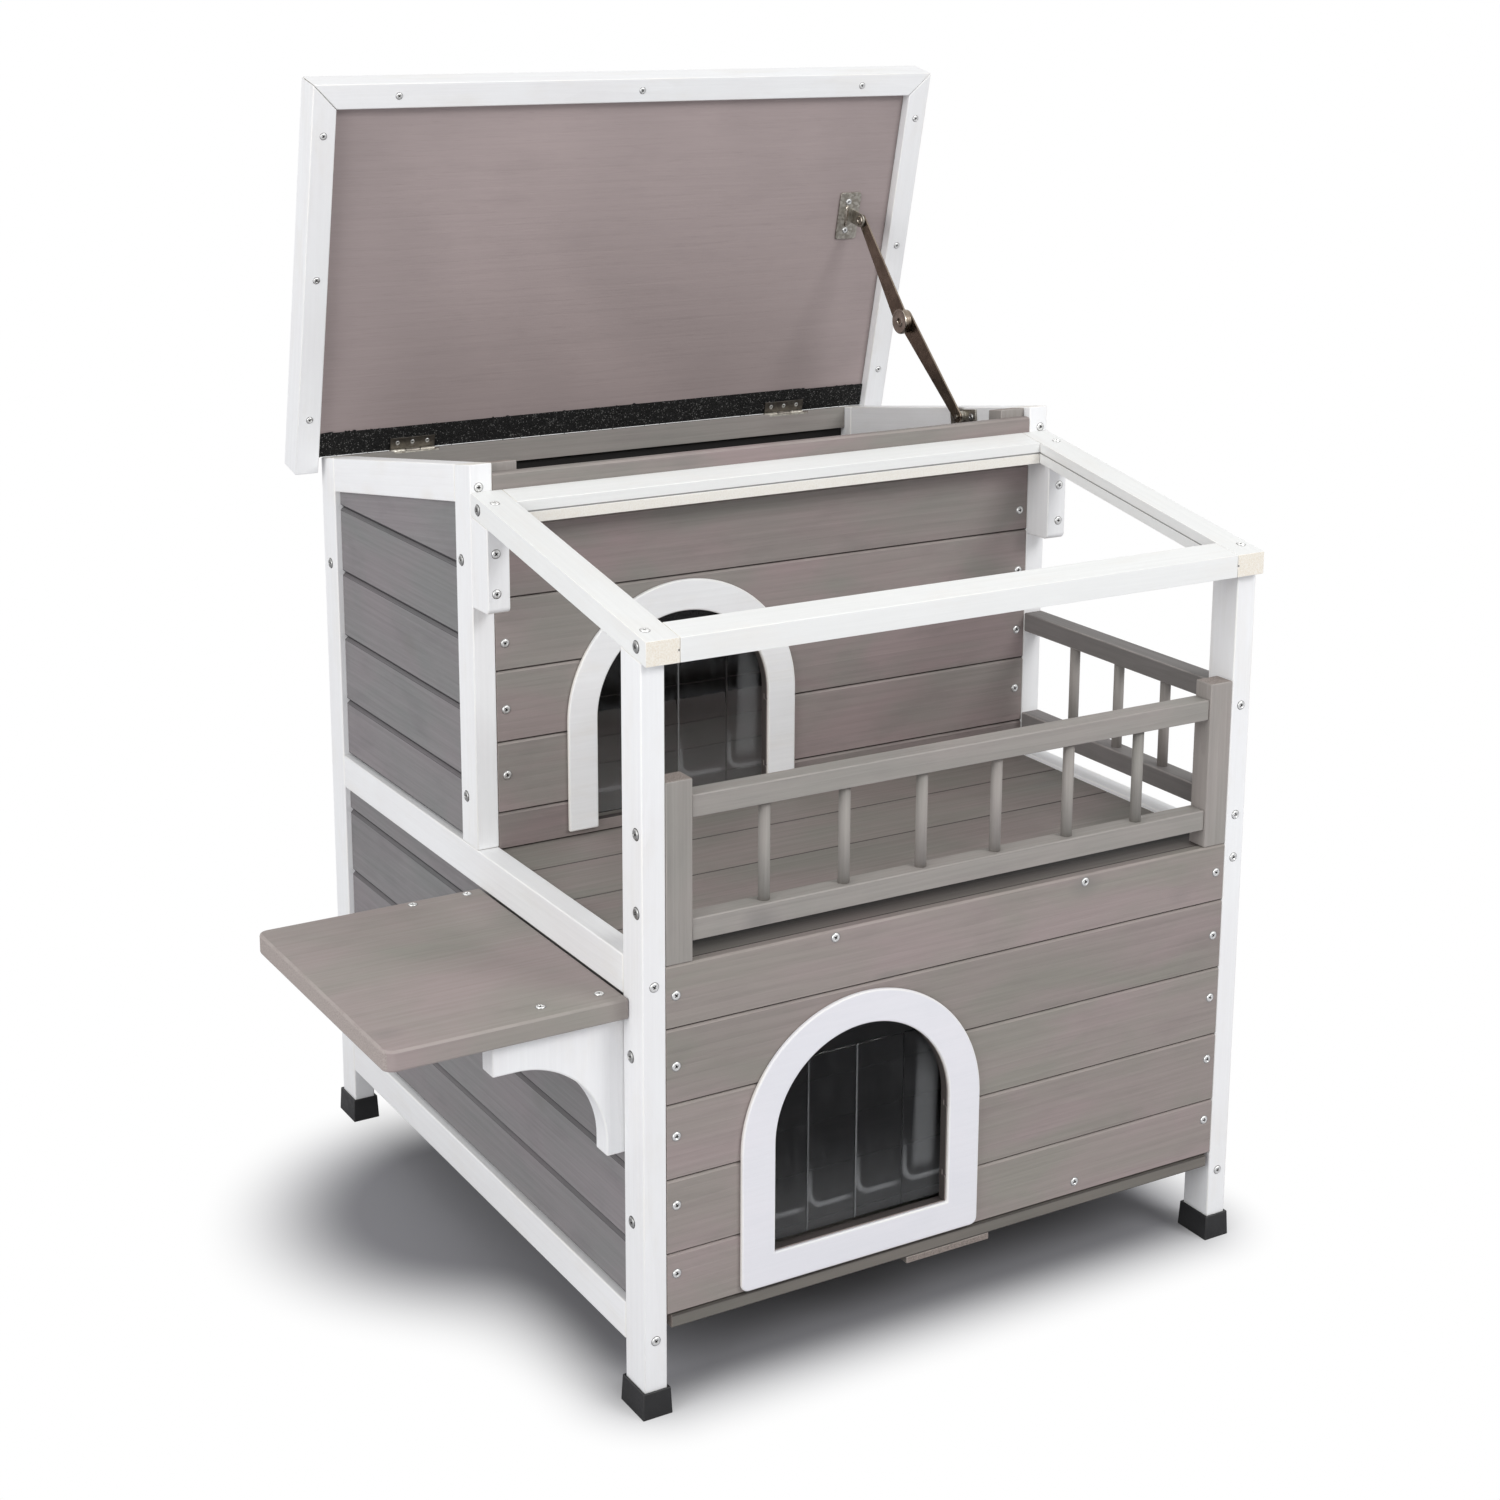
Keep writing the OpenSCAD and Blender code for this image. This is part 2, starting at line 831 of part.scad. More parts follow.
module cross_rail(y0, y1, groove_y) {
  difference() {
    profile_yz(pergola_outline(y0, y1), pergola_wide + fit, house_width - 2 * pergola_wide - 2 * fit);
    profile_yz(groove_outline(groove_y, groove_y + past + groove_size), 0, house_width);
  }
}

module pergola_cross_rails() {
  deep = pergola_wide * cos(pergola_slope);
  rear = balcony_depth - fit;
  front = deep - pergola_over;
  color(white_paint) place() {
    cross_rail(rear - deep, rear, rear - deep - past);
    cross_rail(-pergola_over, front, front - groove_size);
  }
}

// block on the middle post that carries the rear of a rafter, its lower front corner rounded
module left_block() {
  front = balcony_depth - batten_wide;
  back = balcony_depth - fit;
  foot = pergola_foot(back) - block_high;
  profile_yz([[front + block_round, foot], [back, foot], [back, pergola_foot(back) - fit],
    [front, pergola_foot(front) - fit], [front, foot + block_round]], 0, batten_thick);
  bar_x(front + block_round, foot + block_round, 0, batten_thick, block_round);
}

module pergola_blocks() {
  color(white_paint) place() {
    left_block();
    right_side() left_block();
  }
}

module step_board() {
  z0 = step_top - step_thick;
  corner_x = step_round - step_reach;
  corner_front = step_front_y + step_round;
  corner_back = step_back_y - step_round;
  color(grey_light) place() {
    block(corner_x, -fit, step_front_y, step_back_y, z0, step_top);
    block(-step_reach, corner_x, corner_front, corner_back, z0, step_top);
    for (y = [corner_front, corner_back])
      translate([corner_x, y, z0])
        cylinder(r = step_round, h = step_thick);
  }
}

// bracket with a hollow quarter-round edge, its outline in width and height
module step_bracket(y0) {
  top = step_top - step_thick - fit;
  inner = board_setback - fit;
  foot = top - bracket_reach - board_setback;
  arc = bracket_reach - bracket_foot + board_setback - bracket_foot;
  arc_x = inner - bracket_foot - arc;
  arc_z = top - bracket_tip - arc;
  difference() {
    block(-bracket_reach, inner, y0, y0 + bracket_thick, foot, top);
    block(-bracket_reach - past, arc_x, y0 - past, y0 + bracket_thick + past, foot - past, arc_z + arc);
    block(arc_x - past, arc_x + arc, y0 - past, y0 + bracket_thick + past, foot - past, arc_z);
    bar_y(arc_x, arc_z, y0 - past, y0 + bracket_thick + past, arc);
  }
}

module step_brackets() {
  color(white_paint) place() {
    step_bracket(batten_wide + 2 * fit);
    step_bracket(step_back_y - bracket_thick);
  }
}

module floor_boards() {
  color(grey_light) place()
    flat_boards(inner_left + floor_side_gap, inner_right - floor_side_gap, 0, floor_back, floor_top,
      floor_thick, floor_board_wide);
}

// one batten under the floor boards, which it holds together
module floor_batten(x0, wide, y0, y1) {
  block(x0, x0 + wide, y0, y1, floor_z - floor_batten_high - fit, floor_z - fit);
}

module floor_battens() {
  side = inner_left + floor_batten_side;
  color(raw_wood) place() {
    floor_batten(house_width / 2 - pull_batten_left, pull_batten_wide, 0, floor_back);
    floor_batten(side, batten_wide, floor_batten_front, floor_back - floor_batten_rear);
    floor_batten(house_width - side - batten_wide, batten_wide, floor_batten_front,
      floor_back - floor_batten_rear);
  }
}

// ledges inside the side frames that carry the edges of the pull-out floor
module ledger(x0) {
  block(x0, x0 + ledger_wide, 2 * batten_wide, back_rail_y - fit, floor_z - fit - ledger_high, floor_z - fit);
}

module floor_ledgers() {
  color(raw_wood) place() {
    ledger(inner_left);
    ledger(inner_right - ledger_wide);
  }
}

// lid pieces are laid out flat: X across, Y from the hinge to the free edge,
// Z towards the underside, with the hinge pin at the origin
module lid_open() {
  translate([0, hinge_y, hinge_z])
    rotate([90 + lid_lean, 0, 0])
      children();
}

module lid_panel() {
  color(grey_stain) place() lid_open()
    block(fit - lid_side_gap, house_width + lid_side_gap - fit, panel_start + fit, panel_end - fit,
      -panel_under - lid_panel_thick, -panel_under);
}

// felt over the top, round the hinge edge and a strip along the underside
module lid_felt() {
  x0 = fit - lid_side_gap;
  x1 = house_width + lid_side_gap - fit;
  top = -panel_under - lid_panel_thick - fit;
  color(felt_black) place() lid_open() {
    block(x0, x1, felt_start, panel_end - fit, top - felt_thick, top);
    block(x0, x1, felt_start, felt_start + felt_thick, top - felt_thick, felt_thick - panel_under);
    block(x0, x1, felt_start, felt_strip, fit - panel_under, felt_thick - panel_under);
  }
}

// edge battens, mitred at the free corners
module lid_side_bars() {
  color(white_paint) place() lid_open()
    for (side = [0, 1])
      translate([side * house_width, 0, -lid_high])
        mirror([side, 0, 0])
          linear_extrude(height = lid_bar_high)
            polygon([[-lid_out, -lid_tail], [-lid_side_gap, -lid_tail],
              [-lid_side_gap, panel_end - fit], [-lid_out, lid_end - fit]]);
}

module lid_front_bar() {
  color(white_paint) place() lid_open()
    translate([0, 0, -lid_high])
      linear_extrude(height = lid_bar_high)
        polygon([[fit - lid_side_gap, panel_end], [house_width + lid_side_gap - fit, panel_end],
          [house_width + lid_out - fit, lid_end], [fit - lid_out, lid_end]]);
}

module hinge_places() {
  translate([hinge_side, 0, 0])
    children();
  translate([house_width - hinge_side - hinge_long, 0, 0])
    children();
}

module lid_leaf() {
  difference() {
    union() {
      block(0, hinge_long, knuckle_radius + fit, leaf_deep, -leaf_high, -leaf_gap / 2);
      block(leaf_third + fit, 2 * leaf_third - fit, 0, leaf_deep / 2, -leaf_high, -leaf_gap / 2);
      bar_x(0, 0, leaf_third + fit, 2 * leaf_third - fit, knuckle_radius);
    }
    bar_x(0, 0, 0, hinge_long, pin_radius + fit);
    for (i = leaf_screws)
      translate([i * leaf_third, leaf_screw_y, -leaf_gap / 2 - leaf_sink])
        cylinder(r = small_screw + fit, h = past);
  }
}

module lid_hinge_leaves() {
  color(zinc) place() lid_open() hinge_places() lid_leaf();
}

module rail_leaf() {
  block(0, leaf_third - fit, 0, rail_leaf_deep, leaf_gap / 2, leaf_high);
  block(2 * leaf_third + fit, hinge_long, 0, rail_leaf_deep, leaf_gap / 2, leaf_high);
  block(0, hinge_long, knuckle_radius + fit, rail_leaf_deep, leaf_gap / 2, leaf_high);
  bar_x(0, 0, 0, leaf_third - fit, knuckle_radius);
  bar_x(0, 0, 2 * leaf_third + fit, hinge_long, knuckle_radius);
  bar_x(0, 0, 0, hinge_long, pin_radius);
}

module frame_hinge_leaves() {
  color(zinc) place() hinge_places()
    translate([0, hinge_y, hinge_z])
      rotate([180 - roof_slope, 0, 0])
        rail_leaf();
}

module stay_lid_bracket() {
  ear_x = upper_arm_x - arm_thick / 2 - ear_gap - plate_thick;
  under = fit - panel_under;
  color(zinc) place() lid_open() {
    block(plate_x, plate_x + plate_wide, ear_u - plate_long / 2, ear_u + plate_long / 2,
      under, under + plate_thick);
    block(ear_x, ear_x + plate_thick, ear_u - ear_radius, ear_u + ear_radius, under, ear_drop);
    bar_x(ear_u, ear_drop, ear_x, ear_x + plate_thick, ear_radius);
    bar_x(ear_u, ear_drop, ear_x, upper_arm_x + arm_thick / 2 + rivet_past, pivot_radius);
  }
}

// flat tapered bar from the first eye to the second, lying in depth and height
module arm(x, y, z, angle, long, first_half, second_half) {
  translate([x - arm_thick / 2, y, z])
    rotate([angle, 0, 0])
      difference() {
        union() {
          profile_yz([[0, -first_half], [long, -second_half], [long, second_half], [0, first_half]],
            0, arm_thick);
          bar_x(0, 0, 0, arm_thick, first_half);
          bar_x(long, 0, 0, arm_thick, second_half);
        }
        bar_x(0, 0, -past, arm_thick + past, pivot_radius + eye_play);
      }
}

// the upper arm carries the elbow's round cap on one side and its spacer on the other
module stay_upper_arm() {
  color(bronze) place() {
    arm(upper_arm_x, ear_y, ear_z, 180 + upper_arm_angle, upper_arm, arm_end, arm_elbow);
    bar_x(elbow_y, elbow_z, upper_arm_x - arm_thick / 2 - elbow_cap_thick, upper_arm_x, elbow_radius);
    bar_x(elbow_y, elbow_z, upper_arm_x, lower_arm_x - arm_thick / 2 - 2 * fit, elbow_radius - 1);
  }
}

module stay_lower_arm() {
  color(bronze) place() {
    arm(lower_arm_x, stay_base_y, stay_base_z, lower_arm_angle, lower_arm, arm_end, arm_elbow);
    bar_x(elbow_y, elbow_z, lower_arm_x, lower_arm_x + arm_thick / 2 + rivet_high, rivet_radius);
  }
}

module stay_frame_bracket() {
  face = house_width - batten_thick - fit;
  arm_side = lower_arm_x + arm_thick / 2;
  color(zinc) place() {
    translate([0, stay_base_y, stay_base_z])
      rotate([-roof_slope, 0, 0])
        block(face - plate_thick, face, -base_plate_long / 2, base_plate_long / 2,
          -base_plate_low, base_plate_high);
    bar_x(stay_base_y, stay_base_z, arm_side - arm_thick - rivet_past, face - plate_thick / 3, pivot_radius);
    bar_x(stay_base_y, stay_base_z, arm_side + 2 * fit, face - plate_thick / 3, boss_radius);
  }
}

// clear band over a door that the strips hang from
module header(wide, pivot) {
  half = wide / 2 + outer_strip_past;
  block(door_centre - half, door_centre + half, board_thick + fit, board_thick + fit + strip_thick,
    pivot + header_gap, pivot + header_high);
}

module curtain_headers() {
  color(clear_vinyl) place() {
    header(lower_door_wide, lower_pivot_z);
    translate([0, balcony_depth, 0])
      header(upper_door_wide, upper_pivot_z);
  }
}

// one strip of a door curtain, counted from the left
module strip(number, wide, pitch, pivot, foot) {
  left_end = door_centre - wide / 2 - outer_strip_past;
  right_end = door_centre + wide / 2 + outer_strip_past;
  x0 = number == 1 ? left_end : door_centre + (number - 3) * pitch + strip_gap / 2;
  x1 = number == 4 ? right_end : door_centre + (number - 2) * pitch - strip_gap / 2;
  block(x0, x1, board_thick + strip_y, board_thick + strip_y + strip_thick, foot + strip_foot_gap, pivot);
}

module lower_strip(number) {
  color(clear_vinyl) place()
    strip(number, lower_door_wide, lower_slit_pitch, lower_pivot_z, lower_door_z);
}

module upper_strip(number) {
  color(clear_vinyl) place()
    translate([0, balcony_depth, 0])
      strip(number, upper_door_wide, upper_slit_pitch, upper_pivot_z, upper_door_z);
}

module lower_strip_1() {
  lower_strip(1);
}

module lower_strip_2() {
  lower_strip(2);
}

module lower_strip_3() {
  lower_strip(3);
}

module lower_strip_4() {
  lower_strip(4);
}

module upper_strip_1() {
  upper_strip(1);
}

module upper_strip_2() {
  upper_strip(2);
}

module upper_strip_3() {
  upper_strip(3);
}

module upper_strip_4() {
  upper_strip(4);
}

// cross-slotted head standing along Z
module screw_head(radius, high) {
  long = radius * slot_long;
  slot = radius * slot_wide;
  difference() {
    cylinder(r = radius, h = high);
    translate([-long / 2, -slot / 2, high * slot_level])
      cube([long, slot, high]);
    translate([-slot / 2, -long / 2, high * slot_level])
      cube([slot, long, high]);
  }
}

module screw_front(x, y, z) {
  translate([x, y, z])
    rotate([90, 0, 0])
      screw_head(screw_radius, screw_high);
}

module screw_left(y, z) {
  translate([0, y, z])
    rotate([0, -90, 0])
      screw_head(screw_radius, screw_high);
}

module screw_up(x, y, z) {
  translate([x, y, z])
    screw_head(screw_radius, screw_high);
}

// screws of one side frame's outer face
module side_screws() {
  screw_left(rear_post_y + batten_wide / 2, roof_z(rear_post_y) - back_screw_drop);
  screw_left(balcony_depth + middle_screw_y, roof_front_z - middle_screw_drop);
  screw_left(balcony_depth + middle_screw_y, mid_rail_top + middle_screw_rise);
  screw_left(rail_screw_y, front_top_rail_z + handrail / 2 - rail_screw_drop);
  screw_left(rail_screw_y, front_low_rail_z + handrail / 2 + rail_screw_rise);
  screw_left(leg_screw_y, mid_rail_z - leg_screw_drop);
  screw_left(leg_screw_y, low_rail_top + leg_screw_rise);
}

// screws in the front faces of one side's posts and of its block
module front_post_screws() {
  screw_front(leg_front_screw_x, 0, mid_rail_z + mid_front_screw_rise);
  screw_front(leg_front_screw_x, 0, low_rail_z + low_front_screw_rise);
  screw_front(block_screw_x, balcony_depth, pergola_back_z + screw_radius);
  for (drop = block_screw_drops)
    screw_front(block_screw_x, balcony_depth - batten_wide, pergola_back_z - drop);
}

// screws on one pergola rafter, from above and from the side
module pergola_screws() {
  rear_y = balcony_depth - pergola_screw_rear;
  for (y = [pergola_screw_front, balcony_depth - pergola_top_screw_rear])
    translate([pergola_screw_x, y, pergola_top(y)])
      rotate([pergola_slope, 0, 0])
        screw_head(screw_radius, screw_high);
  screw_left(pergola_side_screw_y, pergola_mid(pergola_side_screw_y));
  screw_left(rear_y, pergola_mid(rear_y));
}

// a column of screws at the end of a front wall
module screw_column(x, y, lowest, count) {
  for (i = [0 : count - 1])
    screw_front(x, y, lowest + i * wall_screw_pitch);
}

module frame_screws() {
  left = inner_left + wall_screw_side;
  right = inner_right - wall_screw_side;
  right_inner = house_width - inner_screw_side;
  lower_z = first_seam - wall_screw_drop;
  upper_z = upper_first_seam + wall_screw_rise;
  color(zinc) place() {
    side_screws();
    front_post_screws();
    pergola_screws();
    right_side() {
      side_screws();
      front_post_screws();
      pergola_screws();
      for (z = [front_top_rail_z, front_low_rail_z])
        screw_front(leg_front_screw_x, 0, z + handrail / 2);
    }
    screw_column(left, 0, lower_z, lower_wall_screws);
    screw_column(right, 0, lower_z, lower_wall_screws);
    screw_column(left, balcony_depth, upper_z, upper_left_screws);
    screw_column(right, balcony_depth, upper_z, upper_right_screws);
    screw_front(inner_screw_side, 0, deck_top - deck_thick / 2);
    screw_front(right_inner, 0, deck_top - deck_thick / 2);
    screw_front(right_inner, 0, wall_foot + foot_screw_rise);
    for (x = step_screw_x, y = [step_front_y + step_screw_front, step_back_y - step_screw_rear])
      screw_up(x, y, step_top);
    for (y = [-base_screw_side, base_screw_side])
      translate([house_width - batten_thick - fit - plate_thick, stay_base_y, stay_base_z])
        rotate([-roof_slope, 0, 0])
          translate([0, y, -base_screw_sink])
            rotate([0, -90, 0])
              screw_head(plate_screw, plate_screw_high);
  }
}

// screws of the lid: edge battens, hinge leaves and stay plate
module lid_screws() {
  bar_mid = lid_side_gap + lid_bar_wide / 2;
  color(zinc) place() lid_open() {
    for (u = lid_screw_u, x = [-bar_mid, house_width + bar_mid])
      translate([x, u, lid_low])
        screw_head(plate_screw, plate_screw_high);
    for (x = [lid_screw_side, house_width / 2, house_width - lid_screw_side])
      translate([x, panel_end + lid_bar_wide / 2, lid_low])
        screw_head(plate_screw, plate_screw_high);
    hinge_places()
      for (i = leaf_screws)
        translate([i * leaf_third, leaf_screw_y, -leaf_gap / 2 - leaf_sink])
          screw_head(small_screw, leaf_sink - fit / 3);
    for (u = [ear_u - plate_screw_u, ear_u + plate_screw_u])
      translate([plate_x + plate_screw_x, u, fit + plate_thick - panel_under])
        screw_head(plate_screw, plate_screw_high);
  }
}

left_front_post();
left_back_post();
left_middle_post();
left_bottom_rail();
left_middle_rail();
left_roof_rail();
left_lower_boards();
left_upper_boards();
right_front_post();
right_back_post();
right_middle_post();
right_bottom_rail();
right_middle_rail();
right_roof_rail();
right_lower_boards();
right_upper_boards();
foot_caps();
front_lower_boards();
lower_door_surround();
front_cleats();
deck_boards();
deck_runners();
front_upper_boards();
upper_door_surround();
back_boards();
back_rails();
railing_posts();
front_handrails();
side_handrails();
railing_spindles();
pergola_rafters();
pergola_cross_rails();
pergola_blocks();
step_board();
step_brackets();
floor_boards();
floor_battens();
floor_ledgers();
lid_panel();
lid_felt();
lid_side_bars();
lid_front_bar();
lid_hinge_leaves();
frame_hinge_leaves();
stay_lid_bracket();
stay_upper_arm();
stay_lower_arm();
stay_frame_bracket();
curtain_headers();
lower_strip_1();
lower_strip_2();
lower_strip_3();
lower_strip_4();
upper_strip_1();
upper_strip_2();
upper_strip_3();
upper_strip_4();
frame_screws();
lid_screws();
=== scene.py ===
import json
import math
import random

import bmesh
import bpy
from mathutils import Euler, Matrix, Vector, noise


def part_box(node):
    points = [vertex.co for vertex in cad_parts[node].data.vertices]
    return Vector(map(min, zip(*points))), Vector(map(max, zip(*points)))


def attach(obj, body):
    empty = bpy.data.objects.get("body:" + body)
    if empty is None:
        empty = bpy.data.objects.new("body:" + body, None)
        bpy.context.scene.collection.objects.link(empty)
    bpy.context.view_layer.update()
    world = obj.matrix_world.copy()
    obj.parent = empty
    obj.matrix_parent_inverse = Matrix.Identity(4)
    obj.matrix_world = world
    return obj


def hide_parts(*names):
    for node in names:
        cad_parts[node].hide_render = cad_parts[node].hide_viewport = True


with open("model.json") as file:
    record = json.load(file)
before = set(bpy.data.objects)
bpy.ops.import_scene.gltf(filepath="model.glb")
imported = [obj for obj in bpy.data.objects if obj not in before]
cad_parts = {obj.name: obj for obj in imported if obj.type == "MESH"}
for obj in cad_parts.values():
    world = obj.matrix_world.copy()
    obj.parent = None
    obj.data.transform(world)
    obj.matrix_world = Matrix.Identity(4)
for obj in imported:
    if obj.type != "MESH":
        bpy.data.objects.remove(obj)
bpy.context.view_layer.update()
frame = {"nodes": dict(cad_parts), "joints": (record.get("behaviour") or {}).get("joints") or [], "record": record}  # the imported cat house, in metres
record = frame["record"]
bodyOf = {node: body for body, nodes in record["behaviour"]["bodies"].items() for node in nodes}
mm = 0.001
print("frame loaded,", len(frame["nodes"]), "nodes")

# Camera, standing where the photographer stood: in front, on the house's left, a little above
cameraSetup = {
    "lens": 59.6788,
    "sensorWidth": 36,
    "place": (-0.978, -1.7684, 1.0472),
    "turn": (76.85463, -0.22657, -30.55587),
    "shiftY": -0.13,
}
camera = bpy.data.objects.new("houseCamera", bpy.data.cameras.new("houseCamera"))
bpy.context.scene.collection.objects.link(camera)
camera.data.lens = cameraSetup["lens"]
camera.data.sensor_width = cameraSetup["sensorWidth"]
camera.data.shift_y = cameraSetup["shiftY"]
camera.location = cameraSetup["place"]
camera.rotation_euler = Euler([math.radians(angle) for angle in cameraSetup["turn"]], "XYZ")
bpy.context.scene.camera = camera
bpy.context.scene.view_settings.view_transform = "Standard"
print("camera placed")


# Small helpers for node trees and colours
nodeGrid = {"columns": 8, "wide": 220, "high": 260}  # nodes are laid out in rows as they are made


def paint(red, green, blue):  # a colour read as 0 to 255, made linear
    return tuple((c / 255 / 12.92) if c <= 10.3 else ((c / 255 + 0.055) / 1.055) ** 2.4
                 for c in (red, green, blue)) + (1,)


def socketOf(sockets, key):
    if isinstance(key, int):
        return sockets[key]
    return next((socket for socket in sockets if socket.name == key and socket.enabled), sockets[key])


def feed(node, inputs):  # links the inputs that come from other nodes and sets the plain ones
    for key, value in inputs.items():
        socket = socketOf(node.inputs, key)
        if isinstance(value, bpy.types.NodeSocket):
            node.id_data.links.new(value, socket)
        else:
            socket.default_value = value


def put(tree, kind, inputs=None, **settings):
    row, column = divmod(len(tree.nodes), nodeGrid["columns"])
    node = tree.nodes.new(kind)
    node.location = (column * nodeGrid["wide"], -row * nodeGrid["high"])
    for name, value in settings.items():
        setattr(node, name, value)
    feed(node, inputs or {})
    return node


def out(node, key=0):
    if key == 0:
        return next(socket for socket in node.outputs if socket.enabled)
    return socketOf(node.outputs, key)


def sums(tree, operation, first, second=0.0, third=0.0, clamp=False):
    return out(put(tree, "ShaderNodeMath", {0: first, 1: second, 2: third}, operation=operation, use_clamp=clamp))


def plus(tree, first, second):
    return sums(tree, "ADD", first, second)


def times(tree, first, second):
    return sums(tree, "MULTIPLY", first, second)


def vectors(tree, operation, first, second=(0, 0, 0)):
    return out(put(tree, "ShaderNodeVectorMath", {0: first, 1: second}, operation=operation))


def blendTones(tree, share, first, second, mode="MIX"):
    node = put(tree, "ShaderNodeMix", {"Factor": share, "A": first, "B": second}, data_type="RGBA", blend_type=mode)
    return out(node, "Result")


def remap(tree, value, low, high, newLow=0.0, newHigh=1.0, **settings):
    limits = {"From Min": low, "From Max": high, "To Min": newLow, "To Max": newHigh}
    return out(put(tree, "ShaderNodeMapRange", {"Value": value, **limits}, **settings), "Result")


def attribute(tree, name, key="Fac"):
    return out(put(tree, "ShaderNodeAttribute", attribute_name=name), key)


def objectSpot(tree):
    return out(put(tree, "ShaderNodeTexCoord"), "Object")


def noiseOn(tree, source, size, detail, roughness=0.5, distortion=0.0):  # one size, or one for each axis
    if isinstance(size, tuple):
        source, size = vectors(tree, "MULTIPLY", source, size), 1.0
    return out(put(tree, "ShaderNodeTexNoise", {
        "Vector": source, "Scale": size, "Detail": detail, "Roughness": roughness, "Distortion": distortion}))


def cellsOn(tree, source, size):  # the distance to each cell's middle, and its own colour
    node = put(tree, "ShaderNodeTexVoronoi", {"Vector": source, "Scale": size})
    return out(node, "Distance"), put(tree, "ShaderNodeSeparateColor", {"Color": out(node, "Color")})


def relief(tree, strength, distance, height):
    return out(put(tree, "ShaderNodeBump", {"Strength": strength, "Distance": distance, "Height": height}))


def newFinish(name):
    finish = bpy.data.materials.new(name)
    finish.use_nodes = True
    tree = finish.node_tree
    return finish, tree, next(node for node in tree.nodes if node.type == "BSDF_PRINCIPLED")


# Wood finishes. Each piece carries grainPos (along, across and through the grain, in metres), boardTone,
# endCut on sawn ends, an edge mark for wear (also a painted highlight) and a painted shade mark in grooves and
# recesses.
grainSize = {  # how often a pattern changes in a metre along, across and through the grain
    "fibre": (9, 380, 380), "pores": (55, 1900, 1900), "clouds": (15, 42, 42), "knots": (10, 15, 15),
    "ends": (900, 900, 900), "ringsAlong": 3.2, "ringsThrough": 0.6, "ringWarp": 7.0,
}


def woodFinish(name, look):
    finish, tree, shader = newFinish(name)
    grain = attribute(tree, "grainPos", "Vector")
    tone, sawn, wornAndSheen, seam = [attribute(tree, key) for key in ("boardTone", "endCut", "wornAndSheenEdge", "seam")]
    fibre = noiseOn(tree, grain, grainSize["fibre"], 5.0, 0.62)
    pores = noiseOn(tree, grain, grainSize["pores"], 2.0)
    patches = noiseOn(tree, grain, look["patchSize"], 3.0, 0.55, 0.6)
    clouds = noiseOn(tree, grain, grainSize["clouds"], 4.0, 0.6)
    ringSize = (grainSize["ringsAlong"], look["ringCount"], look["ringCount"] * grainSize["ringsThrough"])
    rings = out(put(tree, "ShaderNodeTexWave", {
        "Vector": vectors(tree, "MULTIPLY", grain, ringSize), "Scale": 1.0, "Distortion": grainSize["ringWarp"],
        "Detail": 2.5, "Detail Scale": 0.8}, wave_type="BANDS", bands_direction="Y", wave_profile="SAW"), "Fac")
    reach, cell = cellsOn(tree, vectors(tree, "MULTIPLY", grain, grainSize["knots"]), 1.0)
    knot = times(tree, remap(tree, reach, 0.2, 0.05), sums(tree, "GREATER_THAN", out(cell), 1 - look["knotShare"]))

    # stain: two tones in soft patches, then grain lines, each board's own tone and knots
    base = blendTones(tree, remap(tree, patches, 0.36, 0.64), look["toneA"], look["toneB"])
    base = blendTones(tree, times(tree, remap(tree, clouds, 0.52, 0.75), look["cloudShare"]), base, look["toneCloud"])
    lines = times(tree, remap(tree, fibre, 0.35, 0.7), look["fibreDepth"])
    dots = times(tree, remap(tree, pores, 0.6, 0.78), look["poreDepth"])
    darker = plus(tree, plus(tree, lines, times(tree, rings, look["ringDepth"])), dots)
    shaded = sums(tree, "SUBTRACT", 1.0 + look["fibreDepth"] * 0.5 + look["ringDepth"] * 0.4, darker)
    shaded = plus(tree, shaded, times(tree, tone, look["boardSpread"]))
    grey = out(put(tree, "ShaderNodeCombineColor", {"Red": shaded, "Green": shaded, "Blue": shaded}))
    base = blendTones(tree, 1.0, base, grey, "MULTIPLY")
    base = blendTones(tree, times(tree, knot, look["knotDepth"]), base, look["knotTone"])

    # sawn ends take more stain and show their pores; edges rub through here and there, and upward bevels between boards
    # get a painted highlight
    speckle = remap(tree, noiseOn(tree, grain, grainSize["ends"], 2.0), 0.35, 0.7)
    endTone = blendTones(tree, speckle, look["endTone"], look["endDark"])
    base = blendTones(tree, times(tree, sawn, look["endShare"]), base, endTone)
    rub = times(tree, wornAndSheen, remap(tree, clouds, 0.42, 0.6, 0.15, look["wornAndSheenShare"]))
    base = blendTones(tree, rub, base, look["wornAndSheenTone"])
    # painted shade: grooves between boards, door reveals, joints and the back wall's inner face are darkened
    base = blendTones(tree, times(tree, seam, look["paintedShadeShare"]), base, look["paintedShadeTone"])
    if "railShade" in look:  # painted shade: the strip that lies under the front rail is darkened as the rail's shadow
        shade = look["railShade"]
        deep = out(put(tree, "ShaderNodeSeparateXYZ", {"Vector": objectSpot(tree)}), "Y")
        front = remap(tree, deep, *shade["front"], shade["edge"], shade["share"])
        back = remap(tree, deep, *shade["back"], 1.0, 0.0)
        base = blendTones(tree, times(tree, front, back), base, shade["tone"])

    height = plus(tree, times(tree, fibre, 0.8), times(tree, pores, 0.35))
    height = plus(tree, height, times(tree, rings, look["ringRelief"]))
    feed(shader, {
        "Base Color": base, "Normal": relief(tree, look["bump"], 0.0005, height), "Specular IOR Level": look["gloss"],
        "Roughness": remap(tree, fibre, 0.3, 0.7, look["roughness"] - 0.06, look["roughness"] + 0.08)})
    return finish


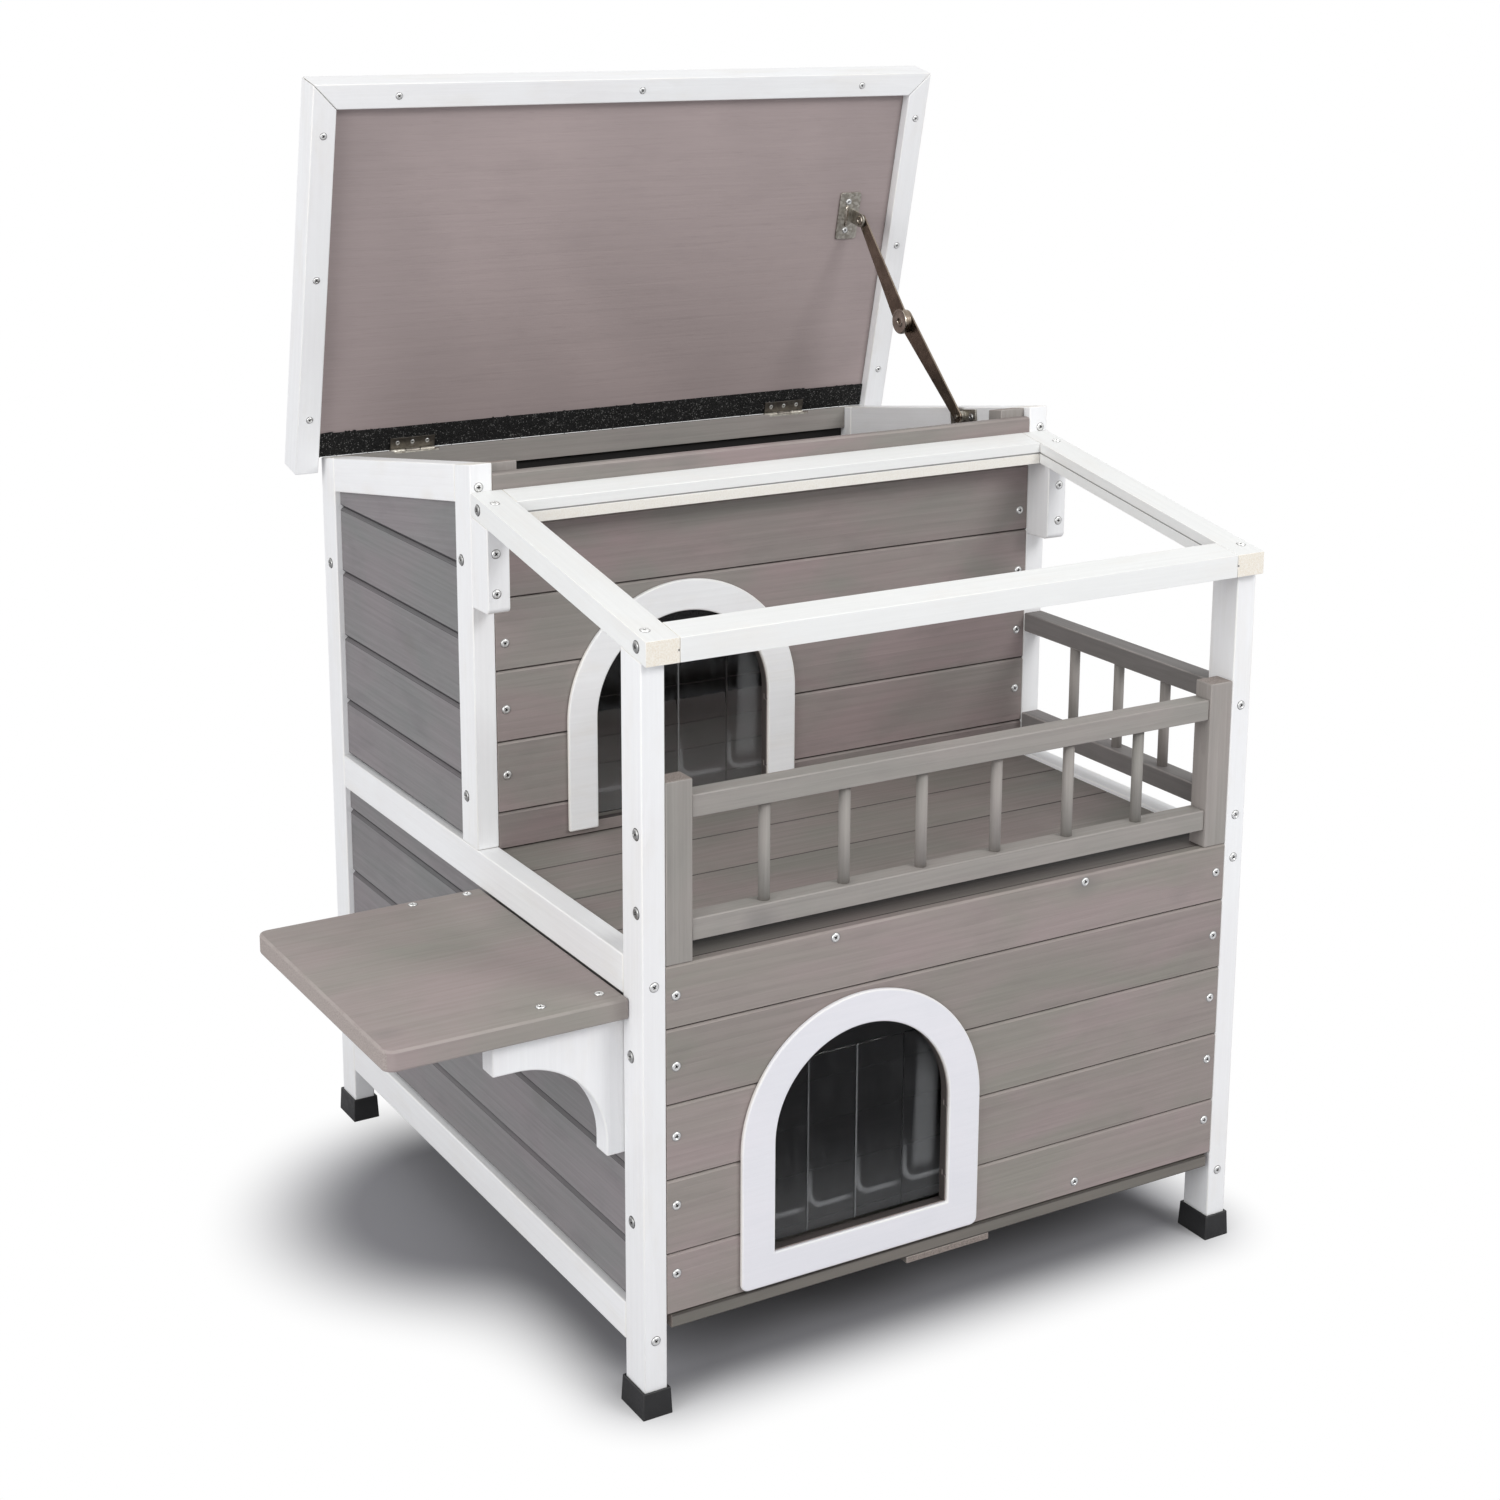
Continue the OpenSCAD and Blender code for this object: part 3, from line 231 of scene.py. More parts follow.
greyLook = {
    "toneA": paint(149, 137, 135), "toneB": paint(139, 135, 128), "toneCloud": paint(131, 123, 120),
    "patchSize": (6.5, 17, 17), "cloudShare": 0.45, "ringCount": 34, "ringDepth": 0.06, "ringRelief": 0.25,
    "fibreDepth": 0.1, "poreDepth": 0.08, "boardSpread": 0.05, "knotShare": 0.22, "knotDepth": 0.45,
    "knotTone": paint(118, 116, 114), "endTone": paint(152, 141, 134), "endDark": paint(112, 102, 97), "endShare": 0.85,
    "wornAndSheenTone": paint(168, 158, 153), "wornAndSheenShare": 0.5, "paintedShadeTone": paint(62, 57, 55), "paintedShadeShare": 0.95,
    "roughness": 0.62, "bump": 0.4, "gloss": 0.35,
}
# painted shade: a darker, cooler copy of the grey stain for the side walls
sideLook = dict(greyLook, toneA=paint(132, 127, 129), toneB=paint(125, 125, 125), toneCloud=paint(113, 109, 112),
                paintedShadeTone=paint(50, 48, 52), wornAndSheenTone=paint(150, 148, 152))
# painted shade: the back wall's dark marks, near black on its inner face and in its grooves
backLook = dict(greyLook, paintedShadeTone=paint(24, 22, 21), paintedShadeShare=1.0)
# painted shade: a slightly darker copy of the grey stain for the upper front wall under the pergola
upperLook = dict(greyLook, toneA=paint(148, 134, 133), toneB=paint(137, 133, 128), toneCloud=paint(127, 119, 117))
# painted light: the lid's tones are a lighter copy of the grey stain for the light it catches; its finer patches are
# its own
lidLook = dict(greyLook, toneA=paint(171, 157, 156), toneB=paint(146, 135, 134), toneCloud=paint(142, 131, 130),
               patchSize=(1.9, 2.3, 2.3), cloudShare=0.2, fibreDepth=0.05, ringDepth=0.02, ringCount=22, poreDepth=0.12,
               boardSpread=0.0, knotShare=0.1)
deckLook = dict(greyLook, toneA=paint(136, 126, 123), toneB=paint(128, 125, 119), toneCloud=paint(120, 112, 109),
                knotDepth=0.35, paintedShadeShare=0.8)
# painted shade: the deck strip under the front rail
balconyLook = dict(deckLook, railShade={"front": (-0.299, -0.272), "back": (-0.268, -0.24), "edge": 0.1,
                                        "share": 1.0, "tone": paint(24, 22, 21)})
floorLook = dict(deckLook, toneA=paint(118, 112, 106), toneB=paint(110, 107, 101), toneCloud=paint(102, 97, 93))
stepLook = dict(greyLook, toneA=paint(153, 141, 139), toneB=paint(142, 139, 132), toneCloud=paint(134, 128, 123),
                patchSize=(5.5, 8, 8), fibreDepth=0.07, ringDepth=0.04, wornAndSheenTone=paint(176, 167, 163),
                endTone=paint(172, 162, 157), endDark=paint(140, 131, 126), endShare=0.8)
railLook = dict(greyLook, toneA=paint(155, 149, 145), toneB=paint(147, 144, 139), toneCloud=paint(138, 132, 130),
                cloudShare=0.35, boardSpread=0.05, wornAndSheenTone=paint(166, 160, 156), wornAndSheenShare=0.7)
# painted shade: a darker copy of the rail stain for the side handrails
sideRailLook = dict(railLook, toneA=paint(126, 122, 121), toneB=paint(120, 117, 115), toneCloud=paint(112, 108, 108))
whiteLook = {
    "toneA": paint(239, 240, 241), "toneB": paint(236, 236, 237), "toneCloud": paint(230, 227, 222),
    "patchSize": (6.5, 17, 17), "cloudShare": 0.4, "ringCount": 40, "ringDepth": 0.018, "ringRelief": 0.3,
    "fibreDepth": 0.03, "poreDepth": 0.03, "boardSpread": 0.015, "knotShare": 0.25, "knotDepth": 0.25,
    "knotTone": paint(222, 214, 200), "endTone": paint(236, 231, 220), "endDark": paint(218, 208, 190), "endShare": 0.5,
    "wornAndSheenTone": paint(243, 241, 236), "wornAndSheenShare": 0.5, "paintedShadeTone": paint(128, 126, 126), "paintedShadeShare": 0.75,
    "roughness": 0.48, "bump": 0.28, "gloss": 0.4,
}
cutLook = dict(whiteLook, toneA=paint(235, 236, 235), toneB=paint(232, 233, 232), endTone=paint(240, 234, 222),
               endDark=paint(226, 214, 192), endShare=0.75)
sheetLook = dict(whiteLook, toneA=paint(231, 230, 235), toneB=paint(228, 228, 233), toneCloud=paint(221, 222, 228),
                 ringDepth=0.008, fibreDepth=0.015, knotShare=0.0)
rawLook = {
    "toneA": paint(150, 141, 128), "toneB": paint(138, 130, 118), "toneCloud": paint(128, 118, 104),
    "patchSize": (6.5, 17, 17), "cloudShare": 0.5, "ringCount": 42, "ringDepth": 0.1, "ringRelief": 0.4,
    "fibreDepth": 0.12, "poreDepth": 0.08, "boardSpread": 0.06, "knotShare": 0.3, "knotDepth": 0.6,
    "knotTone": paint(110, 90, 70), "endTone": paint(150, 138, 120), "endDark": paint(112, 98, 80), "endShare": 0.9,
    "wornAndSheenTone": paint(160, 152, 138), "wornAndSheenShare": 0.4, "paintedShadeTone": paint(90, 80, 68), "paintedShadeShare": 0.6,
    "roughness": 0.7, "bump": 0.45, "gloss": 0.3,
}
greyStain = woodFinish("greyStain", greyLook)
sideStain = woodFinish("sideStain", sideLook)
upperStain = woodFinish("upperStain", upperLook)
backStain = woodFinish("backStain", backLook)
lidStain = woodFinish("lidStain", lidLook)
stepStain = woodFinish("stepStain", stepLook)
deckStain = woodFinish("deckStain", balconyLook)
floorStain = woodFinish("floorStain", floorLook)
railStain = woodFinish("railStain", railLook)
sideRailStain = woodFinish("sideRailStain", sideRailLook)
whitePaint = woodFinish("whitePaint", whiteLook)
whiteCutPaint = woodFinish("whiteCutPaint", cutLook)
whiteSheetPaint = woodFinish("whiteSheetPaint", sheetLook)
rawFir = woodFinish("rawFir", rawLook)
print("wood finishes made")


# Finishes of the metal, plastic, felt and vinyl parts
def metalFinish(name, look):
    finish, tree, shader = newFinish(name)
    spot = objectSpot(tree)
    cell = cellsOn(tree, spot, look["spangle"])[1]
    haze = noiseOn(tree, spot, 90.0, 4.0)
    scratch = noiseOn(tree, spot, look["brush"], 3.0)
    mix = plus(tree, times(tree, out(cell), look["spangleShare"]), times(tree, haze, 1 - look["spangleShare"]))
    base = blendTones(tree, remap(tree, mix, 0.25, 0.75), look["tone"], look["toneDark"])
    if "recessShadeTone" in look:  # painted shade: dark in a head's cross and in the ring it has bitten into the wood
        for share in ("dull", "recessShade"):
            base = blendTones(tree, attribute(tree, share), base, look["recessShadeTone"])
    feed(shader, {
        "Base Color": base, "Normal": relief(tree, look["bump"], 0.0002, scratch), "Metallic": 1.0,
        "Roughness": remap(tree, haze, 0.3, 0.7, look["roughness"] - 0.07, look["roughness"] + 0.1)})
    return finish


zincPlate = metalFinish("zincPlate", {
    "tone": paint(186, 182, 173), "toneDark": paint(142, 137, 128), "spangle": 420.0, "spangleShare": 0.5,
    "roughness": 0.42, "bump": 0.25, "brush": (400, 400, 60)})
leafZinc = metalFinish("leafZinc", {
    "tone": paint(132, 127, 120), "toneDark": paint(98, 94, 88), "spangle": 420.0, "spangleShare": 0.3,
    "roughness": 0.38, "bump": 0.25, "brush": (400, 400, 60)})
stayBronze = metalFinish("stayBronze", {
    "tone": paint(154, 141, 127), "toneDark": paint(118, 106, 94), "spangle": 150.0, "spangleShare": 0.08,
    "roughness": 0.26, "bump": 0.3, "brush": (700, 700, 25)})
rivetSteel = metalFinish("rivetSteel", {
    "tone": paint(214, 206, 194), "toneDark": paint(150, 141, 129), "spangle": 700.0, "spangleShare": 0.1,
    "roughness": 0.16, "bump": 0.1, "brush": (900, 900, 900)})
screwSteel = metalFinish("screwSteel", {
    "tone": paint(246, 246, 244), "toneDark": paint(214, 215, 214), "spangle": 900.0, "spangleShare": 0.3,
    "roughness": 0.36, "bump": 0.2, "brush": (1500, 1500, 1500), "recessShadeTone": paint(48, 45, 42)})


def capFinish():
    look = {"tone": paint(30, 30, 31), "toneScuffed": paint(58, 58, 58), "pebbles": 1400.0, "roughness": 0.5}
    finish, tree, shader = newFinish("capPlastic")
    spot = objectSpot(tree)
    pebble = put(tree, "ShaderNodeTexVoronoi", {"Vector": spot, "Scale": look["pebbles"]})
    scuff = noiseOn(tree, spot, 160.0, 6.0, 0.7)
    share = plus(tree, remap(tree, scuff, 0.55, 0.8, 0.0, 0.6), times(tree, attribute(tree, "wornAndSheenEdge"), 0.25))
    feed(shader, {
        "Base Color": blendTones(tree, share, look["tone"], look["toneScuffed"]),
        "Roughness": remap(tree, scuff, 0.3, 0.8, look["roughness"] - 0.1, look["roughness"] + 0.2),
        "Normal": relief(tree, 0.25, 0.0002, out(pebble, "Distance"))})
    return finish


def feltFinish():
    look = {"tone": paint(15, 15, 15), "toneDust": paint(30, 30, 30), "toneGlint": paint(128, 128, 126),
            "glintShare": 0.06, "grit": 1300.0}
    finish, tree, shader = newFinish("roofFelt")
    spot = objectSpot(tree)
    grit, cell = cellsOn(tree, spot, look["grit"])
    fine = noiseOn(tree, spot, 2600.0, 2.0)
    dust = remap(tree, noiseOn(tree, spot, 45.0, 5.0), 0.4, 0.8, 0.0, 0.5)
    glint = sums(tree, "GREATER_THAN", out(cell, "Red"), 1 - look["glintShare"])
    base = blendTones(tree, dust, look["tone"], look["toneDust"])
    feed(shader, {
        "Base Color": blendTones(tree, times(tree, glint, 0.8), base, look["toneGlint"]),
        "Roughness": remap(tree, out(cell, "Green"), 0.0, 1.0, 0.42, 0.95), "Specular IOR Level": 0.3,
        "Normal": relief(tree, 0.9, 0.0008, plus(tree, grit, times(tree, fine, 0.4)))})
    return finish


def vinylFinish():
    # clear sheet, a little hazy: each strip's painted reflection band and its rubbed patches scatter more light
    look = {"tone": paint(196, 198, 200), "hazeTone": paint(170, 171, 171), "reflectionAndHazeWeight": 0.2, "rubHaze": 0.03}
    finish, tree, shader = newFinish("clearVinyl")
    place = attribute(tree, "stripPos", "Vector")
    waves = noiseOn(tree, place, (40, 9, 40), 3.0)
    rubbed = noiseOn(tree, place, (260, 30, 200), 5.0, 0.65)
    # the band kept in the pressed attribute is a painted reflection of a lamp
    haze = sums(tree, "ADD", times(tree, attribute(tree, "pressed"), look["reflectionAndHazeWeight"]),
                remap(tree, rubbed, 0.5, 0.8, 0.0, look["rubHaze"]), clamp=True)
    feed(shader, {
        "Base Color": blendTones(tree, haze, look["tone"], look["hazeTone"]), "IOR": 1.22,
        "Transmission Weight": sums(tree, "SUBTRACT", 1.0, haze, clamp=True),
        "Roughness": remap(tree, rubbed, 0.3, 0.8, 0.02, 0.12), "Normal": relief(tree, 0.2, 0.002, waves)})
    return finish


def edgeFinish():  # the cut edges that meet under the header: nothing shows there
    finish, _, shader = newFinish("clearEdge")
    feed(shader, {"Base Color": paint(196, 198, 200), "Transmission Weight": 1.0, "Roughness": 0.0, "IOR": 1.0})
    return finish


capPlastic = capFinish()
roofFelt = feltFinish()
clearVinyl = vinylFinish()
clearEdge = edgeFinish()
print("metal, plastic, felt and vinyl finishes made")


# Shapes shared by the pieces
centreX, centreY = 200.0, 305.218  # the house's left front corner stands this far from the middle


def housePoint(x, y, z):  # millimetres from the house's left front corner
    return Vector(((x - centreX) * mm, (y - centreY) * mm, z * mm))


def pinOf(joint):
    return Vector(next(item["pos_m"] for item in frame["joints"] if item["name"] == joint))


def cornersOf(points):  # the lowest and the highest corner of a box around the points
    return [Vector([pick(point[k] for point in points) for k in range(3)]) for pick in (min, max)]


def bridge(shape, first, second, closed=False):  # a row of faces between two lines of vertices
    if closed:
        first, second = [*first, first[0]], [*second, second[0]]
    return [shape.faces.new(quad) for quad in zip(first, first[1:], second[1:], second)]


def cadCopy(*nodes):  # the CAD triangles of one or more nodes, merged, each flat face made one
    shape = bmesh.new()
    for node in nodes:
        source = frame["nodes"][node].data
        points = [shape.verts.new(vertex.co) for vertex in source.vertices]
        for triangle in source.polygons:
            shape.faces.new([points[i] for i in triangle.vertices])
    bmesh.ops.remove_doubles(shape, verts=shape.verts, dist=0.01 * mm)
    bmesh.ops.dissolve_limit(shape, angle_limit=math.radians(0.4), verts=shape.verts, edges=shape.edges)
    return shape


def islandsOf(shape):  # the separate solids in a shape, each as its vertices, from the lowest up
    shape.verts.index_update()
    shape.edges.index_update()
    left, islands = set(shape.verts), []
    while left:
        group, reached = set(), [next(iter(left))]
        while reached:
            vertex = reached.pop()
            if vertex not in group:
                group.add(vertex)
                reached.extend(link.other_vert(vertex) for link in vertex.link_edges)
        left -= group
        islands.append(sorted(group, key=lambda v: v.index))
    return sorted(islands, key=lambda group: min((round(v.co.z, 4), round(v.co.y, 4), round(v.co.x, 4))
                                                 for v in group))


smoothTo = {"rounded": 50, "flat": 14}  # degrees up to which two faces are shaded as one


def roundEdges(shape, radius, segments=2, fromAngle=25):
    sharp = [edge for edge in shape.edges if len(edge.link_faces) == 2
             and edge.calc_face_angle(0) > math.radians(fromAngle)]
    wornAndSheen = shape.faces.layers.float.new("wornAndSheenEdge")
    if radius > 0:
        made = bmesh.ops.bevel(shape, geom=sharp, offset=radius, segments=segments, profile=0.5, affect="EDGES",
                               clamp_overlap=True)
        for face in made["faces"]:
            face[wornAndSheen] = 1.0
    shape.normal_update()
    for face in shape.faces:
        face.smooth = True
    for edge in shape.edges:
        rounded = all(face[wornAndSheen] > 0.5 for face in edge.link_faces)
        limit = math.radians(smoothTo["rounded" if rounded else "flat"])
        alike = rounded or all(face[wornAndSheen] < 0.5 for face in edge.link_faces)
        edge.smooth = len(edge.link_faces) == 2 and edge.calc_face_angle(0) < limit and alike


def grainAxes(group, fixed=None):
    # the grain follows a board's longest edge, or the direction given; sorted, so that each run picks the same
    edges = sorted({edge for vertex in group for edge in vertex.link_edges}, key=lambda edge: edge.index)
    longest = max(edges, key=lambda edge: edge.calc_length())
    along = Vector(fixed) if fixed else (longest.verts[1].co - longest.verts[0].co).normalized()
    wide, across = 0, None
    for edge in edges:
        step = edge.verts[1].co - edge.verts[0].co
        flat = step - along * step.dot(along)
        if flat.length > wide + 0.01 * mm:
            wide, across = flat.length, flat.normalized()
    if along.dot(Vector((1, 1, 1))) < 0:
        along = -along
    return along, across, along.cross(across)


sideWalls = {f"{side}_{storey}_boards" for side in ("left", "right") for storey in ("lower", "upper")}
shadedFootStrip = {"below": 0.36, "tone": -3.0}  # painted shade: the lowest board of the upper front wall, at the deck, is given a darker tone
grooveShade = {"band": 0.42, "line": 0.95}
innerCorner = {"slim": 0.004, "bend": 0.3}  # the narrow faces of the pergola's half-lap joints, painted dark as shade
bareStrip = {"share": 0.6, "behind": -0.1, "below": 0.6385}  # the rear cross rail is bare wood below its groove
doorOf = {  # centre, half width, foot and spring of the arched openings in the house's millimetres, whose cut faces get painted shade
    "front_lower_boards": (189, 79, 107.7, 196.7), "front_upper_boards": (189, 81.5, 366, 453.5),
}
doorSlack = {"foot": 1.5, "arch": 2.5, "side": 1.0}  # how near to the opening's line its cut faces lie


def isReveal(face, door):  # the faces cut by a doorway, painted dark as shade
    centre, half, foot, spring = door
    middle = face.calc_center_median()
    x, z = abs(middle.x / mm + centreX - centre), middle.z / mm
    if abs(face.normal.y) > 0.3 or z < foot - doorSlack["foot"]:
        return False
    if z > spring:
        return abs(math.hypot(x, z - spring) - half) < doorSlack["arch"]
    return abs(x - half) < doorSlack["side"] or (abs(z - foot) < doorSlack["side"] and x < half)


def isBareStrip(face):  # the part of the rear rail's front face under its groove
    middle = face.calc_center_median()
    return face.normal.y < -0.8 and middle.y > bareStrip["behind"] and middle.z < bareStrip["below"]


def isInnerCorner(face):
    return face.calc_area() < innerCorner["slim"] * max(edge.calc_length() for edge in face.edges) and any(
        not edge.is_convex and edge.calc_face_angle(0) > innerCorner["bend"] for edge in face.edges)


def addGrain(shape, seed, fixed=None):
    grain = shape.verts.layers.float_vector.new("grainPos")
    wornAndSheen = shape.faces.layers.float.get("wornAndSheenEdge")
    seam, tone, sawn = [shape.faces.layers.float.new(name) for name in ("seam", "boardTone", "endCut")]
    for number, group in enumerate(islandsOf(shape)):
        dice = random.Random(f"{seed} {number}")
        along, across, through = grainAxes(group, fixed)
        shift = Vector((dice.uniform(0, 9), dice.uniform(0, 5), dice.uniform(0, 5)))
        ownTone = dice.uniform(-1, 1)
        # painted shade on the lowest board by the deck
        if seed == "front_upper_boards" and min(vertex.co.z for vertex in group) < shadedFootStrip["below"]:
            ownTone = shadedFootStrip["tone"]
        for vertex in group:
            place = vertex.co
            vertex[grain] = Vector((place.dot(along), place.dot(across), place.dot(through))) + shift
        for face in {face for vertex in group for face in vertex.link_faces}:
            face[tone] = ownTone
            face[sawn] = 1.0 if abs(face.normal.dot(along)) > 0.8 else 0.0
            slant = min(abs(face.normal.dot(across)), abs(face.normal.dot(through)))
            if slant > 0.12 and seed in sideWalls:  # painted shade: a mid-dark groove between two dark lines
                face[wornAndSheen] = 0.0
                face[seam] = grooveShade["band"] if slant > 0.5 and face.normal.z > 0 else grooveShade["line"]
            elif slant > 0.5 and "boards" in seed:  # bevels between boards: painted shade looking down, painted highlight looking up
                face[seam] = 1.0 if face.normal.z < 0 else 0.0
                face[wornAndSheen] = 1.0 - face[seam]
            # painted shade in the pergola's half-lap joints
            elif "pergola" in seed and isInnerCorner(face):
                face[seam] = 1.0
            elif seed == "pergola_cross_rails" and isBareStrip(face):
                face[sawn] = bareStrip["share"]
            elif seed == "back_boards" and face.normal.y < -0.5:
                face[seam] = 1.0  # painted shade: the wall's inner face is painted near black
            # painted shade on the cut faces inside the doorways
            elif seed in doorOf and isReveal(face, doorOf[seed]):
                face[seam] = 1.0


def pieceFrom(shape, name, *finishes):
    mesh = bpy.data.meshes.new(name)
    shape.to_mesh(mesh)
    shape.free()
    for finish in finishes:
        mesh.materials.append(finish)
    piece = bpy.data.objects.new(name, mesh)
    bpy.context.scene.collection.objects.link(piece)
    return piece


def standFor(piece, *nodes):
    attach(piece, bodyOf[nodes[0]])
    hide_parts(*nodes)


# Timber: every batten and board gets its edges eased (mm), its own grain and its own tone
frameParts = ("front_post", "back_post", "middle_post", "bottom_rail", "middle_rail", "roof_rail")
timber = {f"{side}_{part}": (1.0, whitePaint) for side in ("left", "right") for part in frameParts}
timber.update({wall: (0.4, sideStain) for wall in sorted(sideWalls)})
timber.update({
    "front_lower_boards": (0.4, greyStain), "front_upper_boards": (0.4, upperStain), "back_boards": (0.4, backStain),
    "front_cleats": (0.8, railStain), "back_rails": (0.5, railStain),
    "railing_posts": (0.9, railStain), "front_handrails": (1.0, railStain), "side_handrails": (1.0, sideRailStain),
    "pergola_rafters": (0.45, whiteCutPaint), "pergola_cross_rails": (0.45, whiteCutPaint),
    "pergola_blocks": (0.9, whitePaint), "step_board": (1.8, stepStain), "step_brackets": (1.2, whitePaint),
    "deck_runners": (0.8, rawFir), "floor_battens": (0.6, floorStain), "floor_ledgers": (0.8, rawFir),
    "lid_panel": (0.5, lidStain), "lid_side_bars": (0.9, whitePaint), "lid_front_bar": (0.9, whitePaint),
})
grainAlong = {"step_board": (1, 0, 0), "step_brackets": (0, 0, 1)}


def easeTimber(node, radius, finish):
    shape = cadCopy(node)
    roundEdges(shape, radius * mm)
    addGrain(shape, node, grainAlong.get(node))
    standFor(pieceFrom(shape, f"{node}_wood", finish), node)


for timberNode, (easing, timberFinish) in timber.items():
    easeTimber(timberNode, easing, timberFinish)
print("timber eased and grained:", len(timber), "pieces")


# Door surrounds, cut from sheet: a smooth arch with softly rounded edges
doorSurrounds = {
    "lower_door_surround": {"centre": 189, "wide": 158, "outerWide": 216, "front": -4, "thick": 3.9,
                            "outerFoot": 81.7, "foot": 107.7, "spring": 196.7, "outerSpring": 193.7,
                            "corner": 6, "closed": True},
    "upper_door_surround": {"centre": 189, "wide": 163, "outerWide": 216, "front": 276.5, "thick": 3.9,
                            "outerFoot": 361, "foot": 361, "spring": 453.5, "outerSpring": 453.5,
                            "corner": 0, "closed": False},
}
surroundMake = {"arcSteps": 72, "cornerSteps": 6, "edgeRadius": 1.3}


def arcLine(x, z, radius, start, end, steps):  # from one angle to another, in degrees
    turns = [math.radians(start + (end - start) * i / steps) for i in range(steps + 1)]
    return [(x + radius * math.cos(turn), z + radius * math.sin(turn)) for turn in turns]


def archLine(centre, half, foot, spring, corner):  # from the left foot over the crown to the right foot
    left, right = [(centre - half, foot)], [(centre + half, foot)]
    if corner > 0:
        steps = surroundMake["cornerSteps"]
        left = arcLine(centre - half + corner, foot + corner, corner, 270, 180, steps)
        right = arcLine(centre + half - corner, foot + corner, corner, 0, -90, steps)
    return left + arcLine(centre, spring, half, 180, 0, surroundMake["arcSteps"]) + right


def makeSurround(node, size):
    shape = bmesh.new()
    outer = archLine(size["centre"], size["outerWide"] / 2, size["outerFoot"], size["outerSpring"], size["corner"])
    inner = archLine(size["centre"], size["wide"] / 2, size["foot"], size["spring"], 0)
    outer, inner = [[shape.verts.new(housePoint(x, size["front"], z)) for x, z in line] for line in (outer, inner)]
    if size["closed"]:  # two halves that meet at the crown, and the foot between them
        crown, innerCrown = len(outer) // 2, len(inner) // 2
        outlines = [outer[:crown + 1] + inner[innerCrown::-1], outer[crown:] + inner[:innerCrown - 1:-1],
                    [outer[0], inner[0], inner[-1], outer[-1]]]
    else:
        outlines = [outer + inner[::-1]]
    grown = bmesh.ops.extrude_face_region(shape, geom=[shape.faces.new(outline) for outline in outlines])
    moved = [item for item in grown["geom"] if isinstance(item, bmesh.types.BMVert)]
    bmesh.ops.translate(shape, verts=moved, vec=(0, size["thick"] * mm, 0))
    bmesh.ops.recalc_face_normals(shape, faces=shape.faces)
    roundEdges(shape, surroundMake["edgeRadius"] * mm, segments=3)
    addGrain(shape, node, (1, 0, 0))
    # painted light: the upper surround gets the brighter white paint to make up for the shade it stands in
    piece = pieceFrom(shape, f"{node}_sheet", whiteSheetPaint if size["closed"] else whitePaint)
    standFor(piece, node)
    off = max(abs(a - b) for a, b in zip(Vector(piece.bound_box[0]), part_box(node)[0]))
    print(node, "cut, off the CAD box by", round(off / mm, 2), "mm")


for doorNode, doorSize in doorSurrounds.items():
    makeSurround(doorNode, doorSize)


# Geometry Nodes: small helpers for the trees
def newTree(name, inputs):  # every tree takes a geometry and the finish of what it makes
    tree = bpy.data.node_groups.new(name, "GeometryNodeTree")
    tree.is_modifier = True
    for title, kind, value in [("Geometry", "Geometry", None), *inputs, ("Finish", "Material", None)]:
        socket = tree.interface.new_socket(name=title, in_out="INPUT", socket_type=f"NodeSocket{kind}")
        if value is not None:
            socket.default_value = value
    tree.interface.new_socket(name="Geometry", in_out="OUTPUT", socket_type="NodeSocketGeometry")
    return tree, tree.nodes.new("NodeGroupInput")


def endTree(tree, given, geometry):
    done = put(tree, "GeometryNodeSetMaterial", {"Geometry": geometry, "Material": out(given, "Finish")})
    put(tree, "NodeGroupOutput", {0: out(done)})
    return tree


def grow(points, tree, values):  # runs a tree on an object and keeps the result as its plain mesh
    modifier = points.modifiers.new(tree.name, "NODES")
    modifier.node_group = tree
    for item in tree.interface.items_tree:
        if item.item_type == "SOCKET" and item.in_out == "INPUT" and item.name in values:
            modifier[item.identifier] = values[item.name]
    bpy.context.view_layer.update()
    depsgraph = bpy.context.evaluated_depsgraph_get()
    made = bpy.data.meshes.new_from_object(points.evaluated_get(depsgraph), preserve_all_data_layers=True,
                                           depsgraph=depsgraph)
    points.modifiers.remove(modifier)
    points.data = made
    return points


def pointCloud(name, places, **values):
    mesh = bpy.data.meshes.new(name)
    mesh.from_pydata([tuple(place) for place in places], [], [])
    for title, entries in values.items():
        isVector = isinstance(entries[0], (tuple, Vector))
        layer = mesh.attributes.new(title, "FLOAT_VECTOR" if isVector else "FLOAT", "POINT")
        for item, entry in zip(layer.data, entries):
            setattr(item, "vector" if isVector else "value", entry)
    cloud = bpy.data.objects.new(name, mesh)
    bpy.context.scene.collection.objects.link(cloud)
    return cloud


def namedValue(tree, name, kind="FLOAT"):
    return out(put(tree, "GeometryNodeInputNamedAttribute", {"Name": name}, data_type=kind))


def store(tree, geometry, name, value, kind="FLOAT", domain="POINT"):
    return out(put(tree, "GeometryNodeStoreNamedAttribute", {"Geometry": geometry, "Name": name, "Value": value},
                   data_type=kind, domain=domain))


def randomIn(tree, low, high, seed):
    kind = "FLOAT_VECTOR" if isinstance(low, tuple) else "FLOAT"
    return out(put(tree, "FunctionNodeRandomValue", {"Min": low, "Max": high, "Seed": seed}, data_type=kind))


def setOn(tree, points, instance, **more):
    return out(put(tree, "GeometryNodeInstanceOnPoints", {"Points": points, "Instance": instance, **more}))


def realOf(tree, geometry):
    return out(put(tree, "GeometryNodeRealizeInstances", {"Geometry": geometry}))


